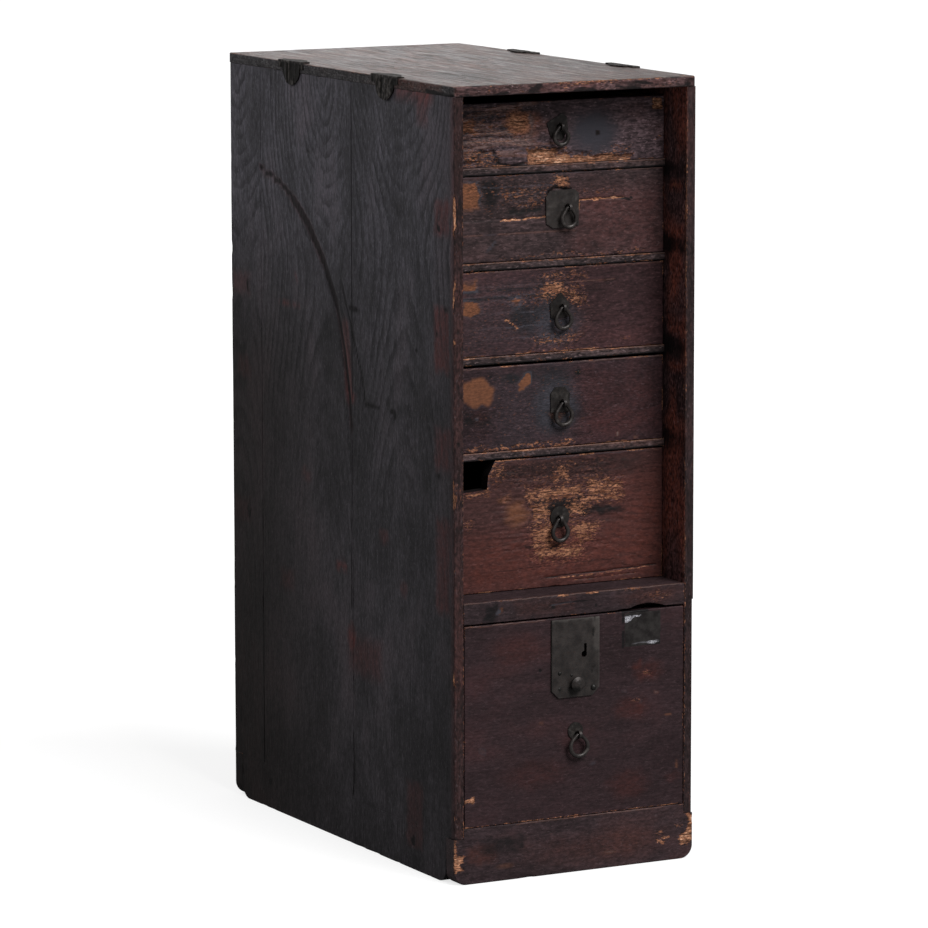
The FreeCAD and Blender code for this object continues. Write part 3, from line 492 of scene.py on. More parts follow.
def lacquer(name, along, across, rings, dark, light, tint, grain=1.0, lines=0.5,
            rough=(0.42, 0.62), specular=0.15, shade=None, seed=0.0, speckle=0.6, relief=0.3,
            gloss_swing=0.16, blush=0.35, fade=None, stretch=1.0, orange_lift=1.0):
    """Worn lacquer over wood. shade darkens and lightens it by its place, as painted shade and
    light, and fade weakens its rings.

    dark and light are the lacquer's tones and tint its red. grain, lines and speckle are the
    strengths of its fibres, rings and specks, and speckle also of painted glints; stretch
    lengthens them. orange_lift brightens the places faded to orange, as painted
    light where a front lies in shade.
    """
    shader = Shader(name, along)
    raw_mark, red_mark, dark_mark, tan_mark = shader.marks()
    ring, fibre, pore = wood_grain(shader, across, rings, stretch)
    if fade is not None:
        ring = ring * fade(shader)
    cloud = shader.grain(60, 110, 4, 0.55, 4.4 + seed)
    streak = shader.grain(2.3, 13.0 * stretch, 3, 0.6, 6.6 + seed)
    mottle = shader.grain(5.0, 9.0 * stretch, 3, 0.6, 12.9 + seed)
    speck = shader.grain(1.8, 3.8 * stretch, 2, 0.55, 9.1 + seed).rise(0.28, 0.72)
    painted_glint_and_fleck = shader.grain(1.7, 4.4 * stretch, 2, 0.6, 11.7 + seed)

    # The whole lacquer: tone, red places, rings, pores, specks, painted glints, and dark marks of
    # soot and painted shade.
    swing = (fibre - 0.5) * 0.7 + (streak - 0.5) * 1.1 + (mottle - 0.5) * 0.8
    colour = shader.mix((cloud + swing * grain).rise(0.28, 0.78), dark, light)
    flush = cloud.rise(0.5, 0.72) * blush + red_mark * mottle.between(0.0, 1.5)
    colour = shader.mix(flush, colour, tint)
    colour = shader.mix(ring * lines, colour, dimmed(dark, 0.4))
    colour = shader.mix(pore * (0.55 * grain), colour, dimmed(dark, 0.25))
    colour = shader.tinted(colour, speck.between(1 - speckle, 1 + speckle))
    # Painted highlights: light specks where ridges would catch the light.
    colour = shader.mix(painted_glint_and_fleck.rise(0.6, 0.7) * speckle, colour, dimmed(light, 2.4, 0.014))
    # Dark marks: soot, dents, cracks and joints, and painted shade in gaps, hollows and grooves.
    soot_and_painted_shade = (dark_mark * mottle.between(0.1, 2.0)).rise(0.1, 0.75)
    colour = shader.mix(soot_and_painted_shade * 0.94, colour, SOOT_AND_PAINTED_SHADE)
    if shade is not None:
        colour = shader.tinted(colour, shade(shader))

    # Faded to orange. A little dark with a little tan is a bluish stain, and red with tan is
    # a pale line that is partly rubbed wear and partly a painted highlight.
    faint = tan_mark.rise(0.85, 0.6)
    both = shader.math("MINIMUM", dark_mark, tan_mark) * faint * dark_mark.rise(1.0, 0.8)
    faded = shader.mix(speck * 0.5 + fibre * 0.4, dimmed(FADED_DEEP, orange_lift),
                       dimmed(FADED_LIT, orange_lift))
    rubbed = shader.math("MINIMUM", red_mark, tan_mark).rise(0.12, 0.34)
    faded = shader.mix(rubbed * faint, faded, RUBBED_PALE_HIGHLIGHT)
    orange = tan_mark * cloud.between(0.6, 1.4) - both * 1.7
    colour = shader.mix(orange, colour, faded)
    stain = shader.math("MINIMUM", both * 2.1, 1.0) * streak.between(0.8, 1.0)
    colour = shader.mix(stain, colour, STAIN)

    # Rubbed to the bare wood, with a fine crackle where that only begins.
    grit = shader.grain(1.3, 2.8, 4, 0.7, 14.2 + seed).rise(0.3, 0.7)
    broken = (raw_mark + (speck * 0.3 + grit * 0.7)).rise(0.88, 1.18)
    bare = shader.mix((raw_mark * 0.35 + streak * 0.9).rise(0.45, 0.85), BARE_DEEP, BARE_LIT)
    pale = raw_mark.rise(0.78, 1.2) * painted_glint_and_fleck.rise(0.5, 0.66)
    bare = shader.mix(pale, bare, BARE_PALE)
    bare = shader.mix(fibre.rise(0.5, 0.62) * 0.8, bare, dimmed(BARE_DEEP, 0.35))
    colour = shader.mix(broken, colour, bare)
    crackle = shader.grain(1.15, 3.2 * stretch, 3, 0.65, 17.3 + seed).rise(0.36, 0.66)
    colour = shader.mix(raw_mark.rise(0.02, 0.3), colour,
                        crackle.between(0.5, 1.75), "MULTIPLY")

    gloss = (cloud.between(*rough) + broken * 0.25
             + streak.rise(0.36, 0.64) * gloss_swing)
    height = fibre * 0.5 + speck * 0.4 - pore * 0.6 - ring * (0.7 * lines) - broken * 0.5
    return shader.finish(colour, gloss, height, 0.75, relief * grain, specular)


def bare_wood(name, along, across, rings, dark, light):
    """Old unlacquered softwood, dry and a little stained."""
    shader = Shader(name, along)
    _, _, dark_mark, _ = shader.marks()
    ring, fibre, _ = wood_grain(shader, across, rings)
    stain = shader.grain(45, 120, 4, 0.6, 7.3)
    colour = shader.mix(fibre.rise(0.25, 0.8), dark, light)
    colour = shader.mix(ring * 0.6, colour, dimmed(dark, 0.6))
    colour = shader.mix(stain.rise(0.48, 0.8), colour, dimmed(dark, 0.45))
    colour = shader.mix(dark_mark.rise(0.1, 0.8), colour, (0.012, 0.0095, 0.008))
    rough = stain.between(0.68, 0.88)
    return shader.finish(colour, rough, ring * 0.4 + fibre * 0.6, 0.5, 0.18, 0.25)


def iron(name, rust=0.5, polish=0.0, tone=1.0, metal=0.5, specular=0.4):
    """Forged iron, blackened and a little rusted."""
    shader = Shader(name)
    raw_mark, _, dark_mark, _ = shader.marks()
    hammered = shader.noise((3.4, 3.4, 3.4), 2, 0.5, 1.9)
    scale = shader.noise((1.1, 1.1, 1.1), 4, 0.7, 4.8)
    blot = shader.noise((9, 9, 9), 3, 0.6, 6.1)
    colour = shader.mix(blot.rise(0.3, 0.75), dimmed((0.017, 0.0145, 0.014), tone),
                        dimmed((0.04, 0.034, 0.032), tone))
    rusty = scale.rise(0.5, 0.72) * rust
    colour = shader.mix(rusty, colour, dimmed((0.042, 0.021, 0.013), tone))
    colour = shader.mix(raw_mark * 0.85, colour, (0.15, 0.135, 0.125))
    # Dark marks: holes and cracks, and painted shade in folds and beside a stud.
    colour = shader.mix(dark_mark * 0.95, colour, (0.004, 0.0035, 0.003))
    rough = scale.between(0.34 - polish, 0.6 - polish)
    return shader.finish(colour, rough, scale * 0.35 + hammered, 0.6, 0.35, specular, metal)


def painted_light_and_shade(shader):
    """Painted shade and light on the sides: lighter high up, where more light falls from above,
    and darker low down and towards the back. They are also darker along their front, and their
    tone steps a little by the front board's joint.
    """
    _, y, z = shader.places()
    upper = z.rise(390.0, 610.0)
    lower = z.rise(60.0, 380.0) * 0.12 + y.rise(215.0, -60.0) * 0.44
    tone = shader.mix(upper * (1.0 - lower) + lower, (0.43, 0.335, 0.3), (1.7, 1.67, 1.8))
    front = 1.0 - y.rise(-80.0, -200.0) * 0.21 - y.rise(-182.0, -206.0) * 0.17
    board = y.rise(-40.0, -75.0) * 0.12 - y.rise(-20.0, -23.0) * 0.08
    rear = y.rise(70.0, 190.0) * (0.14 - upper * 0.14)
    return shader.tinted(tone, front + board - rear)


def high_up(shader):
    """The sides' rings show less towards the floor."""
    _, _, z = shader.places()
    return z.rise(180.0, 480.0).between(0.3, 1.0)


FRONT_RINGS = flat_rings(0.0, 80.0, 0.04, 5.2, 30.0)
BOARD_RINGS = flat_rings(0.0, 50.0, 0.05, 5.0, 20.0)
SOFTWOOD = ((0.138, 0.074, 0.038), (0.275, 0.162, 0.09))

MATERIALS = {
    "side": lacquer(
        "side_lacquer", ALONG_Z, 1, side_rings, (0.016, 0.0153, 0.0165), (0.047, 0.045, 0.0495),
        (0.07, 0.0235, 0.0215), rough=(0.55, 0.72), lines=0.66, specular=0.1, shade=painted_light_and_shade,
        speckle=0.2, grain=0.6, blush=0.08, fade=high_up),
    "brow": lacquer(
        "top_edge_lacquer", ALONG_Y, 2, flat_rings(690.0, 30.0, 0.0, 5.0, 10.0),
        (0.02, 0.018, 0.019), (0.044, 0.041, 0.043), (0.05, 0.022, 0.018), rough=(0.55, 0.72),
        specular=0.1, lines=0.3, seed=7.0),
    "top": lacquer(
        "top_lacquer", ALONG_Y, 0, flat_rings(20.0, 60.0, 0.05, 6.0, 30.0), (0.022, 0.0125, 0.011),
        (0.1, 0.062, 0.054), (0.075, 0.032, 0.022), rough=(0.36, 0.48), specular=0.5, seed=2.0,
        relief=0.5, lines=0.7, gloss_swing=0.22, stretch=4.0),
    "front": lacquer(
        "front_lacquer", ALONG_X, 2, FRONT_RINGS, (0.018, 0.0107, 0.012), (0.035, 0.0213, 0.0241),
        (0.05, 0.017, 0.013), rough=(0.44, 0.6), seed=1.0, grain=0.6, lines=0.25, speckle=0.3),
    "brim": lacquer(
        "top_front_lacquer", ALONG_X, 2, FRONT_RINGS, (0.027, 0.017, 0.0175),
        (0.098, 0.063, 0.066), (0.085, 0.028, 0.023), rough=(0.44, 0.6), seed=6.0, lines=0.4,
        speckle=0.5),
    "arris": lacquer(
        "arris_lacquer", ALONG_Z, 0, flat_rings(0.0, 80.0, 0.04, 3.0, 30.0),
        (0.0103, 0.007, 0.0077), (0.0258, 0.0172, 0.019), (0.045, 0.0163, 0.0141),
        rough=(0.5, 0.66), seed=5.0, lines=0.3, speckle=0.45),
    "shelf": lacquer(
        "shelf_lacquer", ALONG_X, 1, FRONT_RINGS, (0.021, 0.0142, 0.0146), (0.066, 0.0445, 0.0455),
        (0.07, 0.028, 0.021), seed=3.0),
    "inner": lacquer(
        "inner_lacquer", ALONG_Z, 1, flat_rings(0.0, 80.0, 0.02, 6.0, 20.0),
        (0.027, 0.0148, 0.0152), (0.09, 0.049, 0.051), (0.17, 0.048, 0.033), specular=0.12,
        seed=4.0, lines=0.3, speckle=0.8),
    "plain": bare_wood("plain_wood", ALONG_Y, 0, BOARD_RINGS, *SOFTWOOD),
    "cross": bare_wood("cross_wood", ALONG_X, 2, BOARD_RINGS, *SOFTWOOD),
    "back": bare_wood(
        "back_wood", ALONG_Z, 0, flat_rings(12.0, 60.0, -0.07, 6.5, 40.0), (0.05, 0.03, 0.019),
        (0.115, 0.072, 0.045)),
    "iron": iron("dark_iron"),
    "ring_iron": iron("ring_iron", rust=0.35, polish=0.06),
    "plate_iron": iron("plate_iron", rust=0.8, tone=0.55),
    "strap_iron": iron("strap_iron", polish=-0.2, tone=0.4, metal=0.0, specular=0.08),
}


def drawer_lacquer(number, dark, light, tint, rings, **more):
    return lacquer(f"drawer_{number}_lacquer", ALONG_X, 2, flat_rings(*rings), dark, light, tint,
                   seed=10.0 + number, **more)


FRONT_LOOKS = {
    # Painted light: the first front's tones and faded orange are lighter, to make up for the top
    # board's shadow over it.
    1: drawer_lacquer(
        1, (0.037, 0.0242, 0.027), (0.106, 0.069, 0.077), (0.12, 0.045, 0.032),
        (650.0, 46.0, 0.1, 3.4, 30.0), grain=0.9, lines=0.3, speckle=0.45, orange_lift=1.9),
    2: drawer_lacquer(
        2, (0.0235, 0.0145, 0.0152), (0.054, 0.033, 0.0345), (0.082, 0.026, 0.0235),
        (560.0, 60.0, 0.07, 3.8, 30.0), grain=0.7, lines=0.35, speckle=0.36),
    3: drawer_lacquer(
        3, (0.024, 0.0112, 0.0122), (0.049, 0.0226, 0.0248), (0.066, 0.0195, 0.0165),
        (520.0, 70.0, 0.05, 3.6, 22.0), grain=0.6, lines=0.35, speckle=0.32),
    4: drawer_lacquer(
        4, (0.0155, 0.0086, 0.0102), (0.0335, 0.0187, 0.022), (0.046, 0.0145, 0.0138),
        (420.0, 90.0, 0.04, 4.4, 22.0), grain=0.65, lines=0.35, speckle=0.36),
    5: drawer_lacquer(
        5, (0.0357, 0.015, 0.0139), (0.061, 0.0256, 0.0244), (0.08, 0.0215, 0.0155),
        (250.0, 60.0, 0.05, 4.2, 30.0), grain=0.5, lines=0.35, speckle=0.25),
    6: drawer_lacquer(
        6, (0.0168, 0.0088, 0.01), (0.0297, 0.0159, 0.0183), (0.045, 0.0125, 0.0105),
        (140.0, 120.0, 0.03, 6.0, 30.0), grain=0.4, lines=0.25, rough=(0.4, 0.54), speckle=0.22),
}


def faced(piece, look, test):
    """Another material for the faces that pass test, by their middle in mm and their normal."""
    piece.data.materials.append(MATERIALS[look])
    slot = len(piece.data.materials) - 1
    for face in piece.data.polygons:
        if test(face.center / MM, face.normal):
            face.material_index = slot


def dressed(piece, body, material, slot_name, *nodes):
    """Gives the piece its material and body, and hides the CAD nodes that it stands for.
    slot_name is not used.
    """
    piece.data.materials.clear()
    piece.data.materials.append(material)
    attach(piece, body)
    if nodes:
        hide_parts(*nodes)
    return piece


def board(node, look, slot_name, step, shape, paint, **cutting):
    """A worn board of the case, cut from a CAD node by diced."""
    piece = diced(f"worn_{node}", node, step, shape, paint, **cutting)
    return dressed(piece, "case", MATERIALS[look], slot_name, node)


def forged(node, body, look, shape, paint, step=(1.6, 1.0, 1.6), close=(0.4, 1.0)):
    """A hammered iron sheet, cut from a CAD node by diced."""
    piece = diced(f"forged_{node}", node, step, shape, paint, close=close)
    return dressed(piece, body, MATERIALS[look], "dark_iron", node)


# ---------------------------------------------------------------- fronts

# Marks on the drawers' fronts, the rail and the plinth, by x and height. See painted.
D5_BREAK = [(-66, 341), (-67, 350), (-64, 358), (-61, 364), (-59, 368)]
FRONT_MARKS = {1: {
    (RAW, blob): [(0.58, -36, 663, 9, 7, 0.6)],
    (RAW, patch): [(0.4, -92, -80, 654, 665, 3), (0.4, -92, -55, 625, 640, 4),
        (0.12, -92, -62, 624, 630, 3), (0.62, -26, 0, 623, 636, 4), (0.5, -27, 14, 623, 640, 4),
        (0.8, 0, 78, 623, 630, 3), (0.45, 10, 60, 628, 634, 4), (0.35, 56, 78, 632, 638, 4),
        (1.6, 99, 107, 668, 677, 2), (0.3, -92, -20, 640, 680, 12)],
    (RAW, stroke): [(0.9, [(101, 641), (106, 645)], 1.2)],
    (RED, blob): [(0.8, -20, 665, 6, 6, 0.5)],
    (RED, patch): [(0.7, -20, -8, 652, 662, 4)],
    (DARK, blob): [(0.5, 38, 651, 22, 18, 0.6), (1.0, 43, 650, 2.2, 2.2)],
    (DARK, stroke): [(1.0, [(-60, 637), (-55, 627), (-42, 625), (-28, 627)], 2.2),
        (1.0, [(-92, 631), (-80, 633), (-74, 639), (-66, 636)], 2.0),
        (0.8, [(-26, 622), (-24, 636), (-12, 640), (4, 638)], 1.6)],
    (TAN, blob): [(0.95, -34, 663, 12, 9, 0.6), (0.5, 38, 651, 22, 18, 0.6),
        (-0.8, 43, 650, 2.2, 2.2)],
    (TAN, patch): [(0.7, -92, -80, 654, 665, 3)],
    RUBBED_AND_HIGHLIGHTED: [(683, -90, 60), (676, -90, -40), (669, -88, -44), (661, -74, -46), (654, -90, -30),
        (647, -86, -20), (643, -60, 0)],
}, 2: {
    (RAW, blob): [(1.2, 42, 592, 4, 1.6), (1.2, 60, 592.4, 3, 1.6)],
    (RAW, patch): [(0.55, -2, 15, 606, 614, 3), (0.2, -52, -8, 594, 604, 4),
        (0.25, -40, -12, 589, 593, 2), (0.16, -92, 10, 580, 614, 8), (0.22, 20, 70, 594, 602, 4),
        (0.35, -60, 90, 543, 547, 2), (0.08, -90, 100, 600, 617, 6)],
    (RAW, stroke): [(1.5, [(-54, 577.6), (-30, 578.0), (-8, 579.0)], 1.3),
        (1.3, [(23.5, 581), (23.8, 592), (40, 592.3), (68, 592)], 1.2)],
    (RED, patch): [(0.5, 20, 108, 545, 600, 20)],
    (DARK, patch): [(0.8, -47, -14, 582, 588, 3), (0.4, -70, -58, 600, 612, 4),
        (0.35, -68, -58, 545, 600, 4), (0.3, -92, 70, 592, 617, 8)],
    # The second stroke darkens the hollow over the plate with painted shadow.
    (DARK, stroke): [(1.0, [(68, 592), (74, 590), (78, 592)], 1.8),
        (1.0, [(-7, 598), (-2, 604), (6, 605), (15, 602)], 2.8)],
    (TAN, patch): [(1.0, -93, -75, 588, 611, 3)],
    (TAN, stroke): [(0.4, [(-68, 551), (-58, 560)], 2.0)],
    RUBBED_AND_HIGHLIGHTED: [(607, -70, 0), (600, -60, -6), (566, -92, 20), (616.6, -94, 108)],
}, 3: {
    (RAW, patch): [(0.38, -14, 34, 524, 530, 4), (0.5, -8, 8, 513, 521, 5),
        (0.28, -18, 26, 504, 517, 5), (0.3, 18, 34, 499, 508, 3), (0.32, -22, 24, 466, 474, 4),
        (0.35, 64, 78, 464, 469, 3), (0.1, -46, -20, 502, 512, 5), (0.4, -40, 60, 459, 462, 2),
        (0.18, -94, 40, 460, 530, 16)],
    (RAW, stroke): [(1.2, [(-50, 492), (-43, 487), (-36, 482)], 1.1)],
    (RED, patch): [(0.1, -94, 6, 462, 528, 16)],
    (DARK, blob): [(0.5, -30, 490, 14, 12, 0.6), (0.42, 4, 492, 20, 20, 0.6)],
    (DARK, patch): [(0.45, -92, 20, 509, 511, 1.5), (0.4, -92, 0, 516, 518, 1.5),
        (0.2, -94, 6, 462, 528, 16)],
    (DARK, stroke): [(0.9, [(-91, 503), (-85, 506), (-80, 504), (-86, 502), (-91, 503)], 1.2)],
    (TAN, blob): [(0.85, -84, 503, 10, 7, 0.3), (0.24, 4, 484, 22, 16, 0.6)],
    (TAN, patch): [(0.75, -92, -78, 515, 526, 3), (0.6, -43, -35, 500, 509, 3),
        (0.12, -94, 6, 462, 528, 16)],
    RUBBED_AND_HIGHLIGHTED: [(512, -92, -20), (507, -80, -12), (496.5, -92, -20), (484, -90, -6), (474, -70, 30),
        (520, -92, 60), (533, -94, 108)],
}, 4: {
    (RAW, blob): [(1.0, 24, 440, 0.9, 0.9), (-0.16, -77, 428, 19, 14.5, 0.2),
        (-0.16, -29, 435, 8, 9, 0.4)],
    (RAW, patch): [(0.5, -94, 20, 376, 380, 2), (0.16, -94, 40, 378, 448, 16)],
    (RED, patch): [(0.8, -80, -65, 402, 410, 4), (0.5, 30, 108, 380, 440, 18),
        (0.1, -94, 6, 378, 448, 16)],
    (DARK, blob): [(1.0, -64, 441, 1.4, 1.4), (0.5, -45, 438, 9, 5, 0.5),
        (0.9, 24, 440, 2.2, 2.2), (0.3, -2, 440, 40, 7, 0.6), (0.3, 8, 404, 26, 12, 0.6),
        (0.5, 2, 412, 20, 22, 0.5)],
    (DARK, patch): [(0.5, -92, -62, 398, 412, 5), (0.14, -60, 16, 378, 448, 14)],
    (TAN, blob): [(1.1, -77, 428, 17, 12.5, 0.2), (1.1, -31, 432, 5, 3.5, 0.4),
        (1.0, -27, 437, 4, 4.5, 0.4), (0.45, 64, 382, 1.6, 2.2), (0.4, -78, 405, 1.6, 1.6),
        (0.4, 82, 378, 2, 1.4), (0.28, 2, 412, 20, 22, 0.5)],
    (TAN, patch): [(0.1, -60, 16, 378, 448, 14)],
    (TAN, stroke): [(0.4, [(-36, 381), (-30, 387)], 1.2)],
    RUBBED_AND_HIGHLIGHTED: [(449, -94, 108)],
}, 5: {
    (RAW, patch): [(0.5, -30, 28, 330, 338, 6), (0.1, -14, 24, 331, 338, 3),
        (0.3, -58, -44, 329, 336, 3), (0.56, 35, 70, 322, 342, 7), (0.5, -21, -4, 311, 327, 7),
        (0.52, 14, 31, 313, 326, 6), (0.56, -22, -2, 289, 305, 7), (0.54, 18, 48, 297, 305, 6),
        (0.3, 24, 42, 287, 296, 3), (0.52, -18, 28, 276, 285, 7), (0.2, -30, 40, 266, 342, 10),
        (0.4, -92, -78, 308, 316, 3), (0.5, -92, -66, 334, 341, 3), (0.3, 0, 15, 344, 360, 4),
        (0.23, -64, 60, 340, 366, 8), (0.25, -62, -50, 348, 366, 4)],
    (RAW, stroke): [(0.75, [(0, 257.5), (46, 258.2), (97, 260.4)], 1.1),
        (0.5, [(20, 254.5), (60, 255.2), (84, 256)], 1.0), (0.25, D5_BREAK, 5.0)],
    (RED, patch): [(0.8, -92, 108, 252, 300, 16), (0.5, 60, 108, 300, 350, 14)],
    (RED, stroke): [(0.3, D5_BREAK, 2.0)],
    (DARK, blob): [(0.7, 6, 320, 20, 6, 0.5), (0.6, 45, 316, 26, 4, 0.5)],
    (DARK, patch): [(0.6, -20, 30, 326, 330, 2.5), (0.5, -30, 6, 285, 289, 2.5),
        (0.4, -64, 90, 344, 366, 12)],
    (DARK, stroke): [(0.7, [(-10, 259), (40, 259.8), (104, 262)], 1.1),
        (0.5, [(-60, 268), (0, 270), (60, 271)], 1.0)],
    (TAN, blob): [(0.5, -51, 332, 6, 3.5, 0.5), (0.75, -38, 318, 10.5, 10.5, 0.5)],
    (TAN, stroke): [(0.34, D5_BREAK, 2.0)],
    RUBBED_AND_HIGHLIGHTED: [(365.6, -60, 108)],
}, 6: {
    (RAW, blob): [(0.46, 73, 172, 5, 3, 0.5), (0.4, 62, 150, 5, 3, 0.5)],
    (RAW, patch): [(1.1, -110, -101, 72, 76, 1.6), (0.4, -109, 108, 50, 51.8, 1.2)],
    (RED, blob): [(0.7, 56, 142, 16, 9, 0.5), (0.4, 66, 147, 1.4, 1.4),
        (0.8, 74, 174, 14, 8, 0.6), (0.4, 82, 154, 2, 1.4), (0.7, 62, 180, 5, 4, 0.5),
        (0.4, 50, 158, 1.6, 1.6), (0.5, -60, 205, 22, 14, 0.6), (0.6, 54, 74, 18, 12, 0.6),
        (0.4, -40, 92, 30, 12, 0.6), (0.5, 100, 76, 8, 4, 0.5)],
    (DARK, blob): [(0.9, -35, 184, 1.8, 1.4), (0.24, 34, 120, 34, 44, 0.8),
        (0.2, -70, 100, 30, 34, 0.8)],
    # A painted shadow along the top edge near the sheet, which makes the gap above look wider.
    (DARK, patch): [(1.2, 47, 72, 226.2, 231, 0.9)],
    (DARK, stroke): [(1.3, [(49.2, 228), (49.5, 214), (49.1, 198)], 1.8)],
    (TAN, blob): [(0.26, 66, 147, 1.4, 1.4), (0.3, 82, 154, 2, 1.4), (0.3, 50, 158, 1.6, 1.6),
        (0.2, -34, 137, 2, 2), (0.25, -93, 117, 3, 3), (0.2, 18, 96, 2.5, 1.5)],
    (TAN, patch): [(0.6, 91, 98, 132, 133.6, 0.8)],
    (TAN, stroke): [(0.5, [(104, 84), (105, 96)], 1.0)],
    RUBBED_AND_HIGHLIGHTED: [(228.6, -109, -30)],
}}
RAIL_MARKS = {
    (RAW, blob): [(0.4, 84, 241, 16, 4, 0.6)],
    (RAW, patch): [(0.8, -18, -8, 248, 250.5, 1), (0.8, 12, 24, 248.4, 250.5, 1),
        (0.7, 50, 68, 248.2, 250.5, 1)],
    (RED, blob): [(0.6, 78, 241, 30, 8, 0.6)],
    (RED, patch): [(0.4, -60, 0, 234, 248, 5)],
    (DARK, blob): [(1.0, -76, 240, 1.2, 1.2), (0.7, -22, 240, 2, 1.6)],
    (DARK, patch): [(0.6, -92, -78, 233, 248, 3)],
    (DARK, stroke): [(0.8, [(-26.5, 232), (-26.5, 242), (20, 243.5), (21.5, 232)], 0.9)],
    (TAN, blob): [(0.6, -76, 240, 3, 3, 0.3)],
    RUBBED_AND_HIGHLIGHTED: [(249.8, -112, 112), (242, -24, 0)],
}
PLINTH_MARKS = {
    (RAW, blob): [(0.6, 88, 25, 4, 3, 0.5)],
    (RAW, patch): [(1.1, -120, -112, 14, 26, 3), (0.6, -120, -116, 26, 42, 2),
        (1.2, 108, 121, 14, 24, 3), (0.9, 114, 121, 22, 42, 2), (0.9, 82, 90, 17, 20, 1.5),
        (0.8, 88, 97, 20, 22, 1.2), (0.5, 100, 110, 31, 34, 1.5)],
    (RED, blob): [(0.5, 20, 20, 60, 12, 0.8)],
    (RED, patch): [(0.7, -108, -80, 18, 34, 4)],
    (DARK, patch): [(0.5, -95, -50, 24, 40, 6)],
    (TAN, blob): [(0.3, -70, 13, 8, 2, 0.5), (0.25, 35, 14, 6, 1.5, 0.5)],
    RUBBED_AND_HIGHLIGHTED: [(49.4, -60, 90)],
}
# Dents in the drawers' fronts: depth, form and its numbers.
DENTS = {
    1: [(1.0, stroke, [(-60, 637), (-55, 627), (-42, 625), (-28, 627)], 2.4, 1.5),
        (-0.25, blob, 39, 651, 18, 17, 0.5)],
    2: [(0.9, stroke, [(-54, 578.6), (-30, 578.2), (-8, 579.5)], 1.6, 1.2),
        (0.9, stroke, [(23.5, 585), (23.8, 592), (40, 592.3), (68, 592)], 1.6, 1.2),
        (1.2, stroke, [(-6, 599), (2, 603.5), (13, 601)], 2.6, 1.5)],
    5: [(0.8, stroke, [(-10, 259), (40, 259.8), (104, 262)], 1.4, 1.2),
        (0.5, stroke, [(20, 254.5), (60, 255.2), (84, 256)], 1.2, 1.0)],
    6: [(0.5, blob, -35, 184, 2, 1.6)],
}
# The first front's ridged left part, and where its lower edge is broken away.
D1_RIDGED = (-110, -22, 634, 684, 10)
D1_LOST = [(-112, -57, 620, 630, 2), (-72, -60, 626, 638, 3), (-26, 8, 620, 637, 2.5),
           (-10, 78, 620, 630, 2), (4, 36, 628, 634, 3)]
# The second front is planed lower above a torn line: its x and heights.
D2_STEP = ([-54, -8, 23, 24, 68], [578, 579, 585, 592, 592])


def front_depth(number, points):
    """How far the face of a drawer's front lies under its plane."""
    x, z = points[:, 0], points[:, 2]
    flat = points * (1, 0, 1)
    depth = 0.22 * noise(flat, (60, 1, 6), 20 + number)
    depth += 0.16 * noise(flat, (9, 1, 1.6), 40 + number)
    for deep, form, *numbers in DENTS.get(number, ()):
        depth += deep * form(x, z, *numbers)
    if number == 1:
        ridges = bumps(0.35, 0.65, flat, (24, 1, 2.2), 71)
        depth += 0.85 * patch(x, z, *D1_RIDGED) * (1.3 * ridges + 0.3)
        ragged = noise(flat, (7, 1, 3), 72)
        lost = np.maximum.reduce([patch(x, z, *numbers) for numbers in D1_LOST])
        depth += 1.9 * rise(0.42, 0.58, lost * 0.6 + ragged * 0.5) * (lost > 0.02)
        depth += 1.4 * rise(0.5, 0.62, blob(x, z, 105, 674, 5, 4) * 0.7 + ragged * 0.3)
    if number == 2:
        depth += 0.35 * (z > np.interp(x, *D2_STEP))
        depth += 1.1 * patch(x, z, -47, -14, 583, 590, 2) * noise(flat, (6, 1, 2), 73)
    if number == 5:
        rubbed = bumps(0.5, 0.7, flat, (12, 1, 2), 74)
        depth += 0.5 * rubbed * patch(x, z, -60, 76, 276, 366, 10)
    return depth


def front_shape(number, plane):
    def shape(points, low, high):
        depth = front_depth(number, points)
        radius = nicked(points, 0.45, 1.5, (9, 9, 6), 90 + number)
        return pressed(softened(points, low, high, radius), 1, plane, 1, depth)
    return shape


def front_paint(table, plane, seed, number=0):
    """Marks on the face at a plane of a drawer's front, or of another board if number is 0."""
    def paint(marks, points, low, high):
        x, z = points[:, 0], points[:, 2]
        near = np.clip(1 - np.abs(points[:, 1] - plane) / 4, 0, 1)
        painted(marks, x, z, table, near)
        marks[:, RAW] += edge_wear(points, low, high, seed, 0.75 if 1 <= number <= 5 else 0.45)
        if number == 1:
            # Painted shade in the grooves of the ridged part, and painted highlights on its
            # crests.
            ridges = noise(points * (1, 0, 1), (24, 1, 2.2), 71)
            ridged = patch(x, z, *D1_RIDGED) * near * (1 - blob(x, z, -34, 663, 15, 12))
            highlit_crests = 0.44 * ridged * rise(0.54, 0.42, ridges)
            marks[:, DARK] += 0.34 * ridged * rise(0.58, 0.7, ridges)
            marks[:, TAN] += highlit_crests
            marks[:, RED] += highlit_crests
        if number == 5:
            broken = (x < -56) & (z > 339) & (points[:, 1] > plane + 0.8)
            marks[broken] = (0, 0, 1, 0)
    return paint


def behind(limit):
    """Tells the faces behind a limit, which stay whole."""
    def skip(centre):
        return centre[1] > limit
    return skip


for number in DRAWERS:
    node = f"drawer_{number}_front"
    plane = front_of(node)
    piece = diced(f"worn_{node}", node, (2.2, 4.0, 1.05), front_shape(number, plane),
                  front_paint(FRONT_MARKS[number], plane, 200 + number, number),
                  skip=behind(plane + 6))
    dressed(piece, f"drawer_{number}", FRONT_LOOKS[number],
            "front_lacquer" if number == 6 else "drawer_lacquer", node)


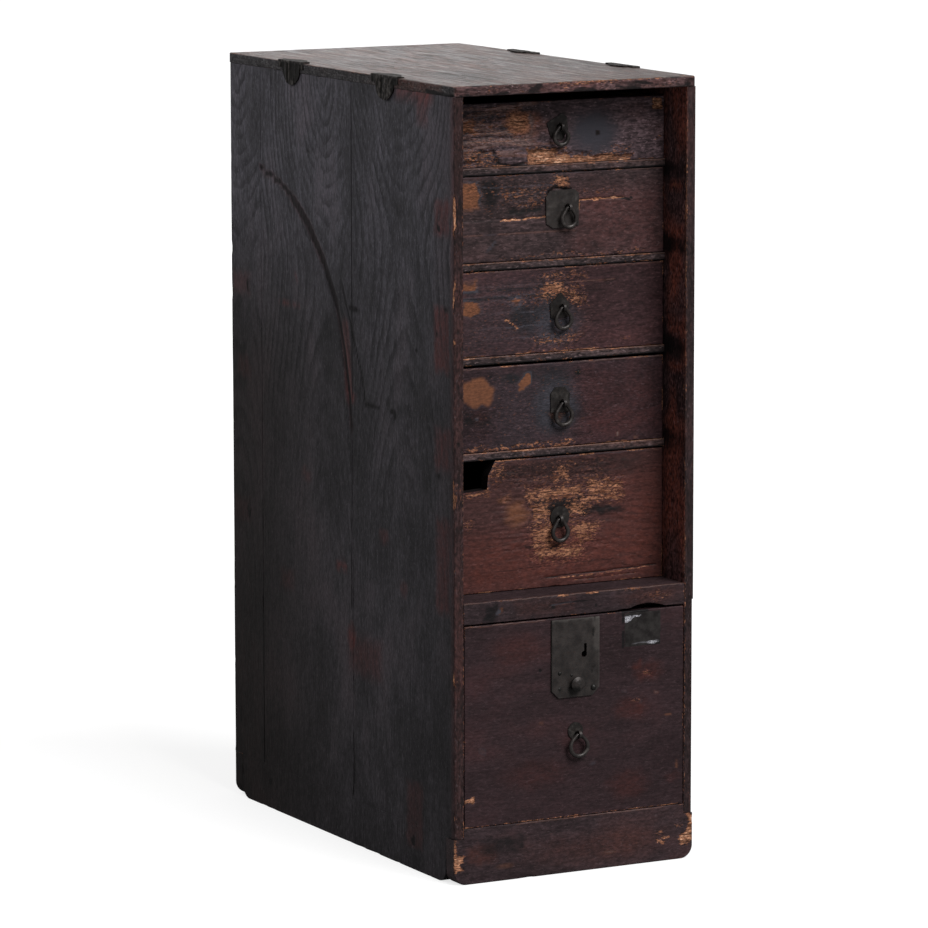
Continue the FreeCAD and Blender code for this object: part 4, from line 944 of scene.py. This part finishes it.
def rail_shape(points, low, high):
    x, z = points[:, 0], points[:, 2]
    depth = 0.25 * noise(points * (1, 0, 1), (50, 1, 5), 31)
    depth += 0.3 * patch(x, z, -26.5, 21.5, 230, 243, 0.6)
    points = softened(points, low, high, nicked(points, 0.5, 1.4, (10, 10, 6), 32))
    x, z = points[:, 0], points[:, 2]
    hollow = rise(38, 50, x) * (1 - 0.6 * rise(72, 86, x)) * (1 - rise(98, 109, x))
    hollow *= 0.75 + 0.5 * noise(points * (1, 0, 0), 9, 35, 2)
    lift = hollow * (1 - rise(low[2] + 3, low[2] + 12, z))
    points[:, 2] += lift * (1 - rise(10, 24, points[:, 1] - FRONT_Y))
    return pressed(points, 1, FRONT_Y, 1, depth)


def plinth_shape(points, low, high):
    depth = 0.25 * noise(points * (1, 0, 1), (50, 1, 8), 33)
    radius = nicked(points, 0.5, 2.6, 12, 34)
    return pressed(softened(points, low, high, radius), 1, low[1], 1, depth)


RAIL_Y, PLINTH_Y = front_of("mid_rail"), front_of("plinth_front")
board("mid_rail", "front", "front_lacquer", (2.2, 5.0, 1.2), rail_shape,
      front_paint(RAIL_MARKS, RAIL_Y, 233), skip=behind(RAIL_Y + 40))
board("plinth_front", "front", "front_lacquer", (2.4, 4.0, 1.6), plinth_shape,
      front_paint(PLINTH_MARKS, PLINTH_Y, 235), skip=behind(PLINTH_Y + 12))


# ---------------------------------------------------------------- sides

# By the distance from the rear, called u, and the height.
GOUGE = [(62, 598), (100, 589), (130, 575), (160, 555), (190, 525), (215, 490), (230, 450),
         (240, 410), (243, 380)]
SCRATCH = [(225, 510), (250, 460), (265, 430), (272, 405)]
LEFT_MARKS = {
    (RED, blob): [(0.7, 246, 408, 6, 4), (0.7, 243, 190, 7, 12), (0.5, 345, 250, 6, 7),
        (0.5, 308, 290, 9, 6), (0.4, 155, 325, 10, 6), (0.5, 135, 505, 5, 3)],
    (RED, patch): [(1.0, 214, 233, 249, 255, 3), (0.8, 334, 401, 684, 700, 8),
        (0.5, 372, 392, 664, 690, 5), (0.45, 2, 38, 478, 497, 4), (0.4, 12, 38, 400, 420, 4),
        (0.35, 2, 36, 265, 285, 4), (0.8, 405, 431, 570, 600, 4), (0.9, 403, 431, 452, 506, 3),
        (0.7, 405, 432, 366, 402, 5), (0.7, 407, 431, 240, 322, 5), (0.4, 350, 380, 20, 78, 3),
        (0.5, 240, 300, 160, 192, 9), (0.35, 100, 126, 214, 232, 6)],
    (RED, stroke): [(0.4, [(130, 575), (160, 555), (190, 525)], 9, 5), (0.4, GOUGE, 5, 3),
        (0.8, [(232, 470), (238, 430), (240, 408)], 13, 8), (0.7, [(100, 478), (142, 478)], 1.8)],
    (DARK, blob): [(1.0, 327, 404, 6, 3.4), (0.9, 330, 412, 8, 2), (0.8, 34, 486, 3, 7),
        (0.6, 34, 274, 3, 8), (0.9, 411, 592, 2, 2), (0.9, 412, 576, 2, 2), (0.9, 424, 508, 7, 2),
        (0.8, 408, 484, 2, 3), (0.8, 411, 358, 4, 4), (1.0, 75, 25, 4, 3.6),
        (1.0, 363, 26, 4, 3.6), (0.8, 13, 78, 2, 8), (0.6, 160, 622, 3, 2),
        (0.7, 300, 610, 2.4, 1.6), (0.7, 370, 466, 2.6, 2), (0.8, 205, 460, 1.6, 5)],
    (DARK, patch): [(0.16, 406, 432, 452, 506, 3), (0.16, 408, 431, 570, 600, 4)],
    (DARK, stroke): [(0.9, GOUGE[:3], 4.4, 2.4), (0.6, GOUGE[2:6], 9, 5), (0.5, GOUGE[2:], 6, 3),
        (0.4, GOUGE[3:], 2.6, 2), (0.8, SCRATCH, 3.0, 2),
        (0.9, [(243, 488), (262, 486)], 4.2, 2.4), (0.8, [(262, 486), (284, 485)], 2.8, 2),
        (0.8, [(272, 404.6), (298, 404)], 2.6, 2), (1.0, [(242.5, 410), (243, 215)], 1.6, 1.4),
        (0.9, [(246, 104), (248, 60), (244, 45)], 1.8, 1.4),
        (0.8, [(61.5, 200), (62, 34)], 1.6, 1.4), (0.7, [(246, 690), (246, 410)], 1.6, 1.4)],
}
RIGHT_MARKS = {
    (RAW, stroke): [(0.5, [(310, 420), (350, 470)], 2.4, 2)],
    (RED, blob): [(0.5, 150, 500, 16, 8), (0.5, 330, 120, 26, 12)],
    (RED, patch): [(0.6, 372, 428, 640, 700, 8), (0.5, 404, 432, 480, 540, 5),
        (0.5, 396, 430, 250, 300, 6), (0.4, 10, 40, 470, 500, 5)],
    (DARK, blob): [(0.9, 300, 560, 4, 3), (0.9, 210, 180, 5, 3), (1.0, 75, 62, 4, 3.6),
        (1.0, 363, 62, 4, 3.6)],
    (DARK, stroke): [(0.8, [(60, 640), (64, 560), (62, 470)], 2.6, 2),
        (0.8, [(180, 330), (236, 352), (268, 350)], 3.0, 2),
        (0.7, [(246, 650), (247, 560)], 2.2, 2)],
}
# Blotches on the recess's right wall, by the distance from the front and the height.
INNER_MARKS = {
    (RAW, patch): [(0.5, 12, 22, 601, 605, 2)],
    (RED, patch): [(1.0, 8, 30, 600, 607, 3), (1.0, 5, 34, 557, 566, 3),
        (0.9, 3, 32, 470, 482, 3), (0.9, 6, 30, 438, 448, 3), (0.7, 4, 34, 292, 330, 6)],
    (DARK, patch): [(0.6, -2, 40, 610, 620, 5), (0.6, -2, 40, 542, 556, 5),
        (0.6, -2, 40, 450, 468, 6), (0.5, -2, 40, 368, 384, 6)],
}
# Where the front arris of a side is rubbed to the wood: heights.
ARRIS_WEAR = [(572, 604), (540, 548), (508, 534), (470, 480), (336, 364), (180, 196), (12, 62)]
# How wide the joints between the boards stand open: heights and edge radii.
OPEN_JOINT = ([30, 50, 104, 200, 230, 400, 430], [0.4, 1.1, 0.6, 0.5, 1.1, 0.9, 0.35])
# Under the top and over the plinth, an edge stays nearly sharp.
SHARP = 0.08
RECESS_END = FRONT_Y + 46


def side_shape(mirrored):
    """The outer face of a side: grain, dents, the gouge, and open joints between boards."""
    def shape(points, low, high):
        u, z = REAR_Y - points[:, 1], points[:, 2]
        flat = points * (0, 1, 1)
        depth = 0.3 * noise(flat, (1, 30, 140), 51) + 0.12 * noise(flat, (1, 3, 24), 52)
        if not mirrored:
            torn = 0.5 + 0.5 * noise(flat, (1, 5, 5), 53)
            depth += 1.3 * stroke(u, z, GOUGE, 7, 5) * torn
            depth += 0.7 * stroke(u, z, SCRATCH, 3, 2.4) * torn
            depth += 0.4 * stroke(u, z, [(240, 486), (262, 486), (286, 487)], 3, 2)
        radius = nicked(points, 0.4, 1.6, 14, 54 + mirrored)
        seam = np.minimum(np.abs(points[:, 1] - low[1]), np.abs(high[1] - points[:, 1])) < 3
        radius = np.where(seam, np.maximum(radius, np.interp(z, *OPEN_JOINT)), radius)
        radius = np.where((z < low[2] + 4) & (u < 430), SHARP, radius)
        points = softened(points, low, high, radius)
        if mirrored:
            return pressed(points, 0, high[0], -1, depth)
        return pressed(points, 0, low[0], 1, depth)
    return shape


def side_paint(mirrored):
    def paint(marks, points, low, high):
        u, z = REAR_Y - points[:, 1], points[:, 2]
        outer = high[0] - points[:, 0] if mirrored else points[:, 0] - low[0]
        inner = high[0] - low[0] - outer
        front = points[:, 1] - FRONT_Y
        ragged = bumps(0.36, 0.6, points, (3, 3, 8), 61)
        painted(marks, u, z, RIGHT_MARKS if mirrored else LEFT_MARKS, outer < 2.5)
        worn = sum(patch(front, z, -5, 5, low_z, high_z, 5) for low_z, high_z in ARRIS_WEAR)
        arris = (1 - rise(0.8, 2.6, front)) * (1 - rise(0.8, 2.6, outer))
        marks[:, RAW] += arris * ragged * (0.12 if mirrored else 0.12 + 0.95 * worn)
        marks[:, RAW] += (1 - rise(0.5, 6, front)) * 0.2 * worn * ragged
        marks[:, RED] += (0.25 if mirrored else 0.5) * (1 - rise(2, 9, front)) * (outer < 9)
        face = (1 - rise(0.2, 1.0, front)) * (outer < 9)
        blotched = noise(points, (5, 5, 14), 65)
        marks[:, DARK] += 0.1 * face * rise(0.52, 0.66, blotched)
        marks[:, RAW] += 0.1 * face * rise(0.44, 0.32, blotched)
        if mirrored:
            band = (1 - rise(2, 7, front)) * (inner < 1.5)
            marks[:, RAW] += band * (0.15 + 0.45 * noise(points, (9, 9, 46), 63))
            marks[:, RED] += (inner < 1.0) * bumps(0.45, 0.7, points, (9, 24, 60), 64)
            # Painted shade: the recess's wall is darker deeper in, towards the drawers.
            marks[:, DARK] += (inner < 1.0) * 0.35 * rise(18, 36, front)
            painted(marks, front, z, INNER_MARKS, inner < 1.0)
        else:
            # Darker in ragged blotches along the front arris.
            arris_blotches = bumps(0.5, 0.62, points, (4, 4, 8), 62)
            marks[:, DARK] += 0.4 * (outer < 9) * (1 - rise(2, 6, front)) * arris_blotches
            marks[:, RAW] += 0.3 * (1 - rise(0.4, 1.6, front)) * (1 - rise(0.4, 1.6, inner))
    return paint


def in_recess(middle, normal):
    return abs(normal[0]) > 0.5 and abs(middle[0]) < RIGHT_X - 5


def on_front(middle, normal):
    return normal[1] < -0.6 and middle[1] < FRONT_Y + 3


def inner_part(low, high):
    """Tells a side's edges and inner face behind the recess, which stay whole."""
    def skip(centre):
        edge = low[0] + 0.5 < centre[0] < high[0] - 0.5
        return centre[1] > RECESS_END and (edge or abs(centre[0]) < RIGHT_X - 5)
    return skip


for node, mirrored, step in (("left_side", False, (3.2, 2.6, 4.6)),
                             ("right_side", True, (3.2, 4.5, 8.0))):
    piece = board(node, "side", "side_lacquer", step, side_shape(mirrored), side_paint(mirrored),
                  skip=inner_part(*box_mm(node)), close=(0.35, 0.9, 1.8), first=RECESS_END)
    faced(piece, "inner", in_recess)
    faced(piece, "arris", on_front)


# ---------------------------------------------------------------- top, shelves and plinth

# By x and y.
TOP_MARKS = {
    (RAW, blob): [(0.9, 112, -208, 3, 3)],
    (RAW, patch): [(0.35, -20, 40, -226, -212, 2)],
    (RED, blob): [(0.5, 20, -185, 70, 24, 0.7)],
    (DARK, blob): [(1.0, 113, -200, 2.2, 2.2), (0.4, -60, -115, 30, 60, 0.7)],
    (TAN, blob): [(0.8, -112, -209, 2.5, 2.5)],
}
# A painted shadow in the gap under the top's front-left end, and a red place there: u and
# height.
TOP_EDGE_MARKS = {
    (DARK, stroke): [(1.0, [(392, 692.5), (412, 691.6), (441, 691.2)], 3.4, 2.4)],
    (RED, patch): [(0.6, 334, 420, 690, 702, 4)],
}


def top_shape(points, low, high):
    flat = points * (1, 1, 0)
    depth = 0.35 * noise(flat, (40, 120, 1), 55) + 0.14 * noise(flat, (3, 26, 1), 56)
    radius = nicked(points, 0.6, 1.8, (16, 16, 8), 57)
    return pressed(softened(points, low, high, radius), 2, high[2], -1, depth)


def top_paint(marks, points, low, high):
    x, y, z = points.T
    painted(marks, x, y, TOP_MARKS, z > high[2] - 3)
    marks[:, RAW] += edge_wear(points, low, high, 67, 0.4, 2.2, 20) * (z > high[2] - 4)
    face = y < low[1] + 2
    blotched = noise(points, (14, 5, 3.5), 69)
    under = 1 - rise(0.4, 2.2, z - low[2])
    marks[:, RED] += 0.7 * face * noise(points, 20, 68)
    # Dark blotches on the front face, and painted shade along its lower edge.
    marks[:, DARK] += face * (0.6 * rise(0.52, 0.66, blotched) + 0.5 * under)
    marks[:, RAW] += 0.3 * face * rise(0.44, 0.32, blotched)
    painted(marks, REAR_Y - y, z, TOP_EDGE_MARKS, x < low[0] + 2)


piece = board("top_board", "top", "top_lacquer", (2.4, 4.4, 2.2), top_shape, top_paint)
faced(piece, "brow", lambda middle, normal: abs(normal[0]) > 0.75)
faced(piece, "brim", lambda middle, normal: normal[1] < -0.75)


def plain_shape(base, worn, seed):
    def shape(points, low, high):
        return softened(points, low, high, nicked(points, base, worn, 12, seed))
    return shape


def shelf_paint(seed, worn):
    def paint(marks, points, low, high):
        front = 1 - rise(1, 6, points[:, 1] - low[1])
        top = 1 - rise(0.2, 1.4, high[2] - points[:, 2])
        foot = 1 - rise(0.6, 2.0, points[:, 2] - low[2])
        rubbed = worn * bumps(0.4, 0.65, points, 12, seed)
        # Painted shade along the foot of the front, and a pale top line that is partly rubbed wear
        # and partly a painted highlight.
        marks[:, DARK] += front * foot
        marks[:, TAN] += front * top * (0.3 + 0.22 * worn)
        marks[:, RED] += front * top * 0.3
        marks[:, RAW] += front * (top * 0.42 + 0.2) * rubbed
        marks[:, RAW] += edge_wear(points, low, high, seed, 0.36, 1.5, 12)
    return paint


SHELF_WORN = {1: 0.5, 2: 0.7, 3: 0.9, 4: 1.3}
for number, worn in SHELF_WORN.items():
    board(f"shelf_{number}", "shelf", "shelf_lacquer", (2.6, 60.0, 2.0),
          plain_shape(0.5, 0.8, 80 + number), shelf_paint(300 + number, worn),
          skip=behind(FRONT_Y + 90))

# The lower corners of the plinth's sides are rounded by this radius, seen from the side.
PLINTH_ROUND = 13.0


def plinth_side_shape(points, low, high):
    radius = nicked(points, 0.4, 1.4, 12, 86)
    radius = np.where(points[:, 2] > high[2] - 4, SHARP, radius)
    points = softened(points, low, high, radius)
    from_end = np.minimum(points[:, 1] - low[1], high[1] - points[:, 1])
    lift = PLINTH_ROUND * (1 - np.sqrt(1 - (1 - np.clip(from_end / PLINTH_ROUND, 0, 1)) ** 2))
    points[:, 2] += lift * np.clip(1 - (points[:, 2] - low[2]) / 25, 0, 1)
    return points


def plinth_side_paint(marks, points, low, high):
    if high[0] < 0:
        painted(marks, REAR_Y - points[:, 1], points[:, 2], LEFT_MARKS, points[:, 0] < low[0] + 2)
    marks[:, RAW] += edge_wear(points, low, high, 400, 0.4, 1.4, 12) * (points[:, 2] < 6)


board("plinth_sides", "side", "side_lacquer", (7.0, 3.0, 3.0), plinth_side_shape,
      plinth_side_paint)

BACK_LOW, BACK_HIGH = box_mm("back_boards")
# Flush nail heads in the back: a row beside each long edge and one across each end.
BACK_NAILS = [(x, z) for x in (BACK_LOW[0] + 7, BACK_HIGH[0] - 7)
              for z in np.arange(BACK_LOW[2] + 30, BACK_HIGH[2], 83)]
BACK_NAILS += [(x, z) for x in (-66, -22, 24, 70) for z in (BACK_LOW[2] + 8, BACK_HIGH[2] - 8)]


def plain_paint(marks, points, low, high, seed=401):
    marks[:, RAW] += edge_wear(points, low, high, seed, 0.5, 1.8, 12)


def back_paint(marks, points, low, high):
    """Each board has its own wear, and the nails stand dark on the outside."""
    right_board = high[0] > 1
    plain_paint(marks, points, low, high, 402 if right_board else 401)
    outside = points[:, 1] > high[1] - 1
    for x, z in BACK_NAILS:
        marks[:, DARK] += outside * blob(points[:, 0], points[:, 2], x, z, 3.4, 3.4, 0.6)


for node, look, slot_name, step, base, paint in (
    ("plinth_back", "side", "side_lacquer", 7.0, 0.4, plain_paint),
    ("back_boards", "back", "back_wood", 3.6, 0.9, back_paint),
    ("bottom_board", "front", "front_lacquer", 7.0, 0.4, plain_paint),
):
    board(node, look, slot_name, (step, 7.0, step), plain_shape(base, 1.2, 85), paint)


# ---------------------------------------------------------------- iron

def plate_shape(seed, plane):
    """A hammered face at a plane, which leaves what stands in front of it alone."""
    def shape(points, low, high):
        bent = 0.22 * noise(points * (1, 0, 1), (7, 1, 7), seed)
        return pressed(points, 1, plane, 1, bent, 0.8)
    return shape


# The lock plate's face lies this far in front of the case.
PLATE_BOARD = 1.5
LOCK_Y = FRONT_Y - PLATE_BOARD
# The dark blot at the stud's lower left and the dark line along the plate's left edge are painted
# shadows.
LOCK_MARKS = {
    (RAW, patch): [(0.4, -24.4, 23.6, 226.6, 228.2, 0.8), (0.25, 19, 23.6, 196, 228, 1)],
    (DARK, blob): [(0.8, 17.6, 183.4, 1.6, 1.0), (0.6, -16.4, 166, 1.6, 1.6),
        (0.95, -3.7, 164.2, 4.2, 4.0, 0.4)],
    (DARK, stroke): [(1.0, [(18.5, 229), (18.0, 222), (17.2, 215), (17.6, 209)], 0.8),
        (1.0, [(16.6, 181), (16.2, 175), (16.6, 170)], 0.9),
        (0.7, [(-24, 160), (-24, 228)], 1.2)],
}


def lock_paint(marks, points, low, high):
    painted(marks, points[:, 0], points[:, 2], LOCK_MARKS, points[:, 1] < LOCK_Y + 2)
    rim = 1 - rise(0.2, 1.0, np.minimum(points[:, 0] - low[0], high[0] - points[:, 0]))
    marks[:, RAW] += 0.25 * rim


def plate_paint(marks, points, low, high):
    marks[:, RAW] += 0.3 * (points[:, 1] < low[1] + 0.2) * bumps(0.5, 0.8, points, 3, 92)


forged("lock_plate", "drawer_6", "iron", plate_shape(93, LOCK_Y), lock_paint)
for number in DRAWERS:
    node = f"drawer_{number}_plate"
    forged(node, f"drawer_{number}", "iron" if number == 2 else "plate_iron",
           plate_shape(94 + number, front_of(node)), plate_paint)


def strap_folds(points):
    return noise(points * (0, 1, 0.25), (1, 2.6, 6), 95, 2)


def strap_shape(points, low, high):
    """Crumpled thin iron: upright folds on the lobe that hangs down, dents on top."""
    folds = strap_folds(points)
    dents = noise(points * (1, 1, 0), (5, 5, 1), 96, 2)
    outward = np.sign(low[0] + high[0])
    hang = 1 - rise(-4, -1.5, points[:, 2] - high[2])
    points[:, 0] -= outward * 0.7 * hang * rise(0.35, 0.65, folds)
    points[:, 1] += 1.6 * hang * (noise(points * (0, 0, 1), 5, 97) - 0.5)
    points[:, 2] -= 0.4 * (1 - hang) * dents
    return points


def strap_paint(marks, points, low, high):
    hang = points[:, 2] < high[2] - 2
    # Painted shade in the hollows of the folds on the hanging lobe.
    marks[:, DARK] += hang * rise(0.42, 0.6, strap_folds(points))
    marks[:, RAW] += 0.3 * bumps(0.52, 0.66, points, 2.4, 98, 2)


forged("edge_straps", "case", "strap_iron", strap_shape, strap_paint, (1.6, 1.1, 1.6), (0.4,))


def forged_ring(number):
    """A ring pull, thicker at its belly and uneven from the hammer."""
    node = f"drawer_{number}_ring"
    bm = bmesh.new()
    bm.from_mesh(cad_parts[node].data)
    bmesh.ops.remove_doubles(bm, verts=bm.verts, dist=1e-6)
    bm.normal_update()
    layer = bm.verts.layers.float_color.new("marks")
    points = np.array([v.co for v in bm.verts]) / MM
    foot, crown = points[:, 2].min(), points[:, 2].max()
    belly = 1 - rise(0.45, 0.75, (points[:, 2] - foot) / (crown - foot))
    swell = 0.12 + belly * (0.3 + 0.25 * noise(points, 4, 600 + number))
    worn = 0.3 * belly * bumps(0.5, 0.8, points, 3, 610 + number)
    for vert, out, light in zip(bm.verts, swell, worn):
        vert.co += vert.normal * out * MM
        vert[layer] = (light, 0, 0, 0)
    dressed(finished(bm, f"forged_{node}"), f"ring_{number}", MATERIALS["ring_iron"],
            "dark_iron", node)


for number in DRAWERS:
    forged_ring(number)


def add_dome(bm, centre, radius, height, seed, around=14, up=5):
    """A nail's domed head on a front, uneven from the hammer."""
    random = np.random.default_rng(seed)
    x, y, z = centre
    rows = []
    for level in range(up):
        turn = math.pi / 2 * level / up
        row = []
        for k in range(around):
            angle = 2 * math.pi * k / around
            wide = radius * math.cos(turn) * (1 + 0.06 * random.standard_normal())
            place = (x + wide * math.cos(angle), y - height * math.sin(turn),
                     z + wide * math.sin(angle))
            row.append(bm.verts.new([c * MM for c in place]))
        rows.append(row)
    peak = bm.verts.new([c * MM for c in (x, y - height, z)])
    for below, above in zip(rows, rows[1:]):
        for k in range(around):
            bm.faces.new((below[k], below[k - 1], above[k - 1], above[k]))
    for k in range(around):
        bm.faces.new((rows[-1][k], rows[-1][k - 1], peak))
    bm.faces.new(rows[0])


def nails(name, body, heads):
    """One piece of several nail heads: (centre, radius, height)."""
    bm = bmesh.new()
    bm.verts.layers.float_color.new("marks")
    for index, head in enumerate(heads):
        add_dome(bm, *head, seed=500 + index)
    bmesh.ops.recalc_face_normals(bm, faces=bm.faces)
    dressed(finished(bm, name), body, MATERIALS["iron"], "dark_iron")


nails("lock_plate_nails", "drawer_6", [
    ((-16.4, LOCK_Y + 0.3, 180.4), 1.9, 1.6), ((-4.4, LOCK_Y + 0.3, 177.6), 1.3, 1.0),
    ((17.6, LOCK_Y + 0.3, 165.0), 2.9, 2.3), ((-16.4, LOCK_Y + 0.3, 166.0), 1.7, 0.6),
])
nails("drawer_4_nail", "drawer_4", [((24, front_of("drawer_4_front") + 0.35, 440), 1.5, 0.5)])


# ---------------------------------------------------------------- stuck sheet

SHEET_X, SHEET_Z = (50.2, 86.6), (197.5, 227.6)
SHEET_CELLS = (74, 62)
# Its height over the front: at least, flat and at most.
SHEET_HEIGHTS = (0.08, 0.22, 0.75)


def crinkled_patch():
    """A thin sheet stuck on the locked drawer beside its plate, creased at two ends."""
    (x0, x1), (z0, z1), (count_x, count_z) = SHEET_X, SHEET_Z, SHEET_CELLS
    bm = bmesh.new()
    layer = bm.verts.layers.float_color.new("marks")
    x, z = np.meshgrid(np.linspace(x0, x1, count_x), np.linspace(z0, z1, count_z), indexing="ij")
    x, z = x.ravel(), z.ravel()
    flat = np.stack([x, np.zeros(len(x)), z], 1)
    jagged = 3.0 * (noise(flat, (2.4, 1, 4), 706) - 0.5)
    wedge = rise(-0.4, 1.4, z - 218.8 - 0.34 * (x - x0) + jagged) * rise(-0.4, 0.6, 225.8 - z)
    creased = wedge + blob(x, z, 79.5, 200.0, 5, 1.8, 0.6)
    creased += 0.4 * blob(x, z, 67, 199.8, 10, 1.4, 0.6)
    least, level, most = SHEET_HEIGHTS
    height = level + 0.9 * creased * (noise(flat, (6.5, 1, 2.8), 701) - 0.25)
    height += 0.12 * (noise(flat, (9, 1, 9), 702) - 0.5)
    edge = np.minimum(np.minimum(x - x0, x1 - x), np.minimum(z - z0, z1 - z))
    height = np.clip(height, least, most) * rise(-0.5, 0.8, edge)
    ragged = 0.7 * (noise(flat, (3, 1, 3), 703) - 0.5) * (edge < 1.2)
    top = [bm.verts.new((a * MM, (FRONT_Y + 0.25 - h) * MM, b * MM))
           for a, h, b in zip(x + ragged, height, z + ragged)]
    low = [bm.verts.new((a * MM, (FRONT_Y + 0.45) * MM, b * MM))
           for a, b in zip(x + ragged, z + ragged)]
    # The marks carry painted highlights on the creases, which patch_look turns grey and near
    # white.
    torn = bumps(0.35, 0.62, flat, (2.2, 1, 1.6), 705, 2)
    painted_glints = np.maximum(bumps(0.4, 0.66, flat, (6, 1, 2.0), 704), wedge * (0.35 + 0.6 * torn))
    for vert, light in zip(top, creased * painted_glints):
        vert[layer] = (light, 0, 0, 0)
    grid = np.arange(count_x * count_z).reshape(count_x, count_z)
    for a, b in zip(grid[:-1, :-1].ravel(), grid[1:, :-1].ravel()):
        bm.faces.new((top[a], top[b], top[b + 1], top[a + 1]))
        bm.faces.new((low[a + 1], low[b + 1], low[b], low[a]))
    rim = [*grid[:, 0], *grid[-1, 1:], *grid[-2::-1, -1], *grid[0, -2:0:-1]]
    for here, there in zip(rim, rim[1:] + rim[:1]):
        bm.faces.new((top[here], low[here], low[there], top[there]))
    bmesh.ops.recalc_face_normals(bm, faces=bm.faces)
    return finished(bm, "crinkled_patch", sharp=1.2)


def patch_look():
    """Black, with painted highlights of grey and near white on its creases."""
    shader = Shader("patch_film")
    painted_highlight_mark, _, _, _ = shader.marks()
    blot = shader.noise((7, 7, 7), 3, 0.6, 12.4)
    fine = shader.noise((1.4, 1.4, 0.8), 3, 0.7, 13.8)
    colour = shader.mix(blot.rise(0.3, 0.7), (0.0105, 0.009, 0.0088),
                        (0.024, 0.0215, 0.0205))
    painted_sheen = painted_highlight_mark.rise(0.12, 0.6) * fine.rise(0.25, 0.5)
    colour = shader.mix(painted_sheen, colour, (0.13, 0.126, 0.138))
    painted_glare = painted_highlight_mark.rise(0.5, 0.95) * fine.rise(0.4, 0.6)
    colour = shader.mix(painted_glare, colour, (0.42, 0.42, 0.45))
    return shader.finish(colour, blot.between(0.3, 0.5), fine, 0.5, 0.2, 0.12)


dressed(crinkled_patch(), "drawer_6", patch_look(), "dark_iron")

for name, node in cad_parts.items():
    if node.hide_render:
        continue
    if name.endswith("_back"):
        look = "cross"
    elif name.endswith(("_sides", "_floor")) or name == "mid_shelf":
        look = "plain"
    else:
        look = "iron"
    node.data.materials.clear()
    node.data.materials.append(MATERIALS[look])


# ---------------------------------------------------------------- studio, metres

scene = bpy.context.scene
scene.view_settings.view_transform = "Standard"

FLOOR_HALF = 30.0
floor_mesh = bpy.data.meshes.new("studio_floor")
corners = [(-FLOOR_HALF, -FLOOR_HALF, 0), (FLOOR_HALF, -FLOOR_HALF, 0),
           (FLOOR_HALF, FLOOR_HALF, 0), (-FLOOR_HALF, FLOOR_HALF, 0)]
floor_mesh.from_pydata(corners, [], [(0, 1, 2, 3)])
floor = bpy.data.objects.new("studio_floor", floor_mesh)
scene.collection.objects.link(floor)


def two_faced(tree, seen, felt, socket):
    """Gives a socket a grey that the camera sees and another for the light that bounces."""
    path = tree.nodes.new("ShaderNodeLightPath")
    mix = tree.nodes.new("ShaderNodeMix")
    mix.data_type = "RGBA"
    tree.links.new(path.outputs["Is Camera Ray"], mix.inputs[0])
    mix.inputs[6].default_value = (felt, felt, felt, 1)
    mix.inputs[7].default_value = (seen, seen, seen, 1)
    tree.links.new(mix.outputs[2], socket)


# The paper looks white to the camera, and throws little light back onto the chest.
paper = bpy.data.materials.new("studio_paper")
paper.use_nodes = True
sockets = paper.node_tree.nodes["Principled BSDF"].inputs
sockets["Roughness"].default_value = 0.9
sockets["Specular IOR Level"].default_value = 0.0
sockets["Emission Strength"].default_value = 1.0
two_faced(paper.node_tree, 0.3, 0.26, sockets["Base Color"])
two_faced(paper.node_tree, 0.74, 0.0, sockets["Emission Color"])
floor_mesh.materials.append(paper)

world = bpy.data.worlds.new("studio")
world.use_nodes = True
scene.world = world
two_faced(world.node_tree, 1.0, 0.3, world.node_tree.nodes["Background"].inputs["Color"])


def add_light(name, kind, energy, direction, distance=5.0, target=(0, 0, 0.35), **settings):
    """A lamp that shines from a direction towards the chest. Only a sun may be seen."""
    data = bpy.data.lights.new(name, kind)
    data.energy = energy
    for key, value in settings.items():
        setattr(data, key, value)
    lamp = bpy.data.objects.new(name, data)
    toward = Vector(direction).normalized()
    lamp.location = Vector(target) + toward * distance
    lamp.rotation_mode = "QUATERNION"
    lamp.rotation_quaternion = toward.to_track_quat("Z", "Y")
    lamp.visible_camera = kind == "SUN"
    scene.collection.objects.link(lamp)


add_light("key", "SUN", 3.9, (0.22, -0.66, 0.72), angle=math.radians(38))
add_light("sheen", "AREA", 74.0, (0.1, 1.0, 0.2), distance=5.2,
          shape="RECTANGLE", size=5.0, size_y=1.6)
add_light("upper_left", "AREA", 12.0, (-0.8, 0.25, 0.75), distance=1.5,
          target=(-0.1, 0.05, 0.6), shape="RECTANGLE", size=1.0, size_y=1.0)

# The camera fitted to the photo: lens for a 36 mm sensor, place, and angles in radians.
SENSOR, LENS, FAR = 36.0, 208.866, 200.0
CAMERA_PLACE = (-2.2814, -4.2694, 1.0816)
AZIMUTH, ELEVATION, ROLL = -0.49158709, 0.15286055, -0.00130968
camera = bpy.data.cameras.new("camera")
camera.sensor_width, camera.lens, camera.clip_end = SENSOR, LENS, FAR
viewer = bpy.data.objects.new("camera", camera)
scene.collection.objects.link(viewer)
back = Vector((math.sin(AZIMUTH) * math.cos(ELEVATION), -math.cos(AZIMUTH) * math.cos(ELEVATION),
               math.sin(ELEVATION)))
side = Vector((0, 0, 1)).cross(back).normalized()
upward = back.cross(side)
right = side * math.cos(ROLL) + upward * math.sin(ROLL)
upward = upward * math.cos(ROLL) - side * math.sin(ROLL)
turn = Matrix((right, upward, back)).transposed()
viewer.matrix_world = Matrix.Translation(CAMERA_PLACE) @ turn.to_4x4()
scene.camera = viewer
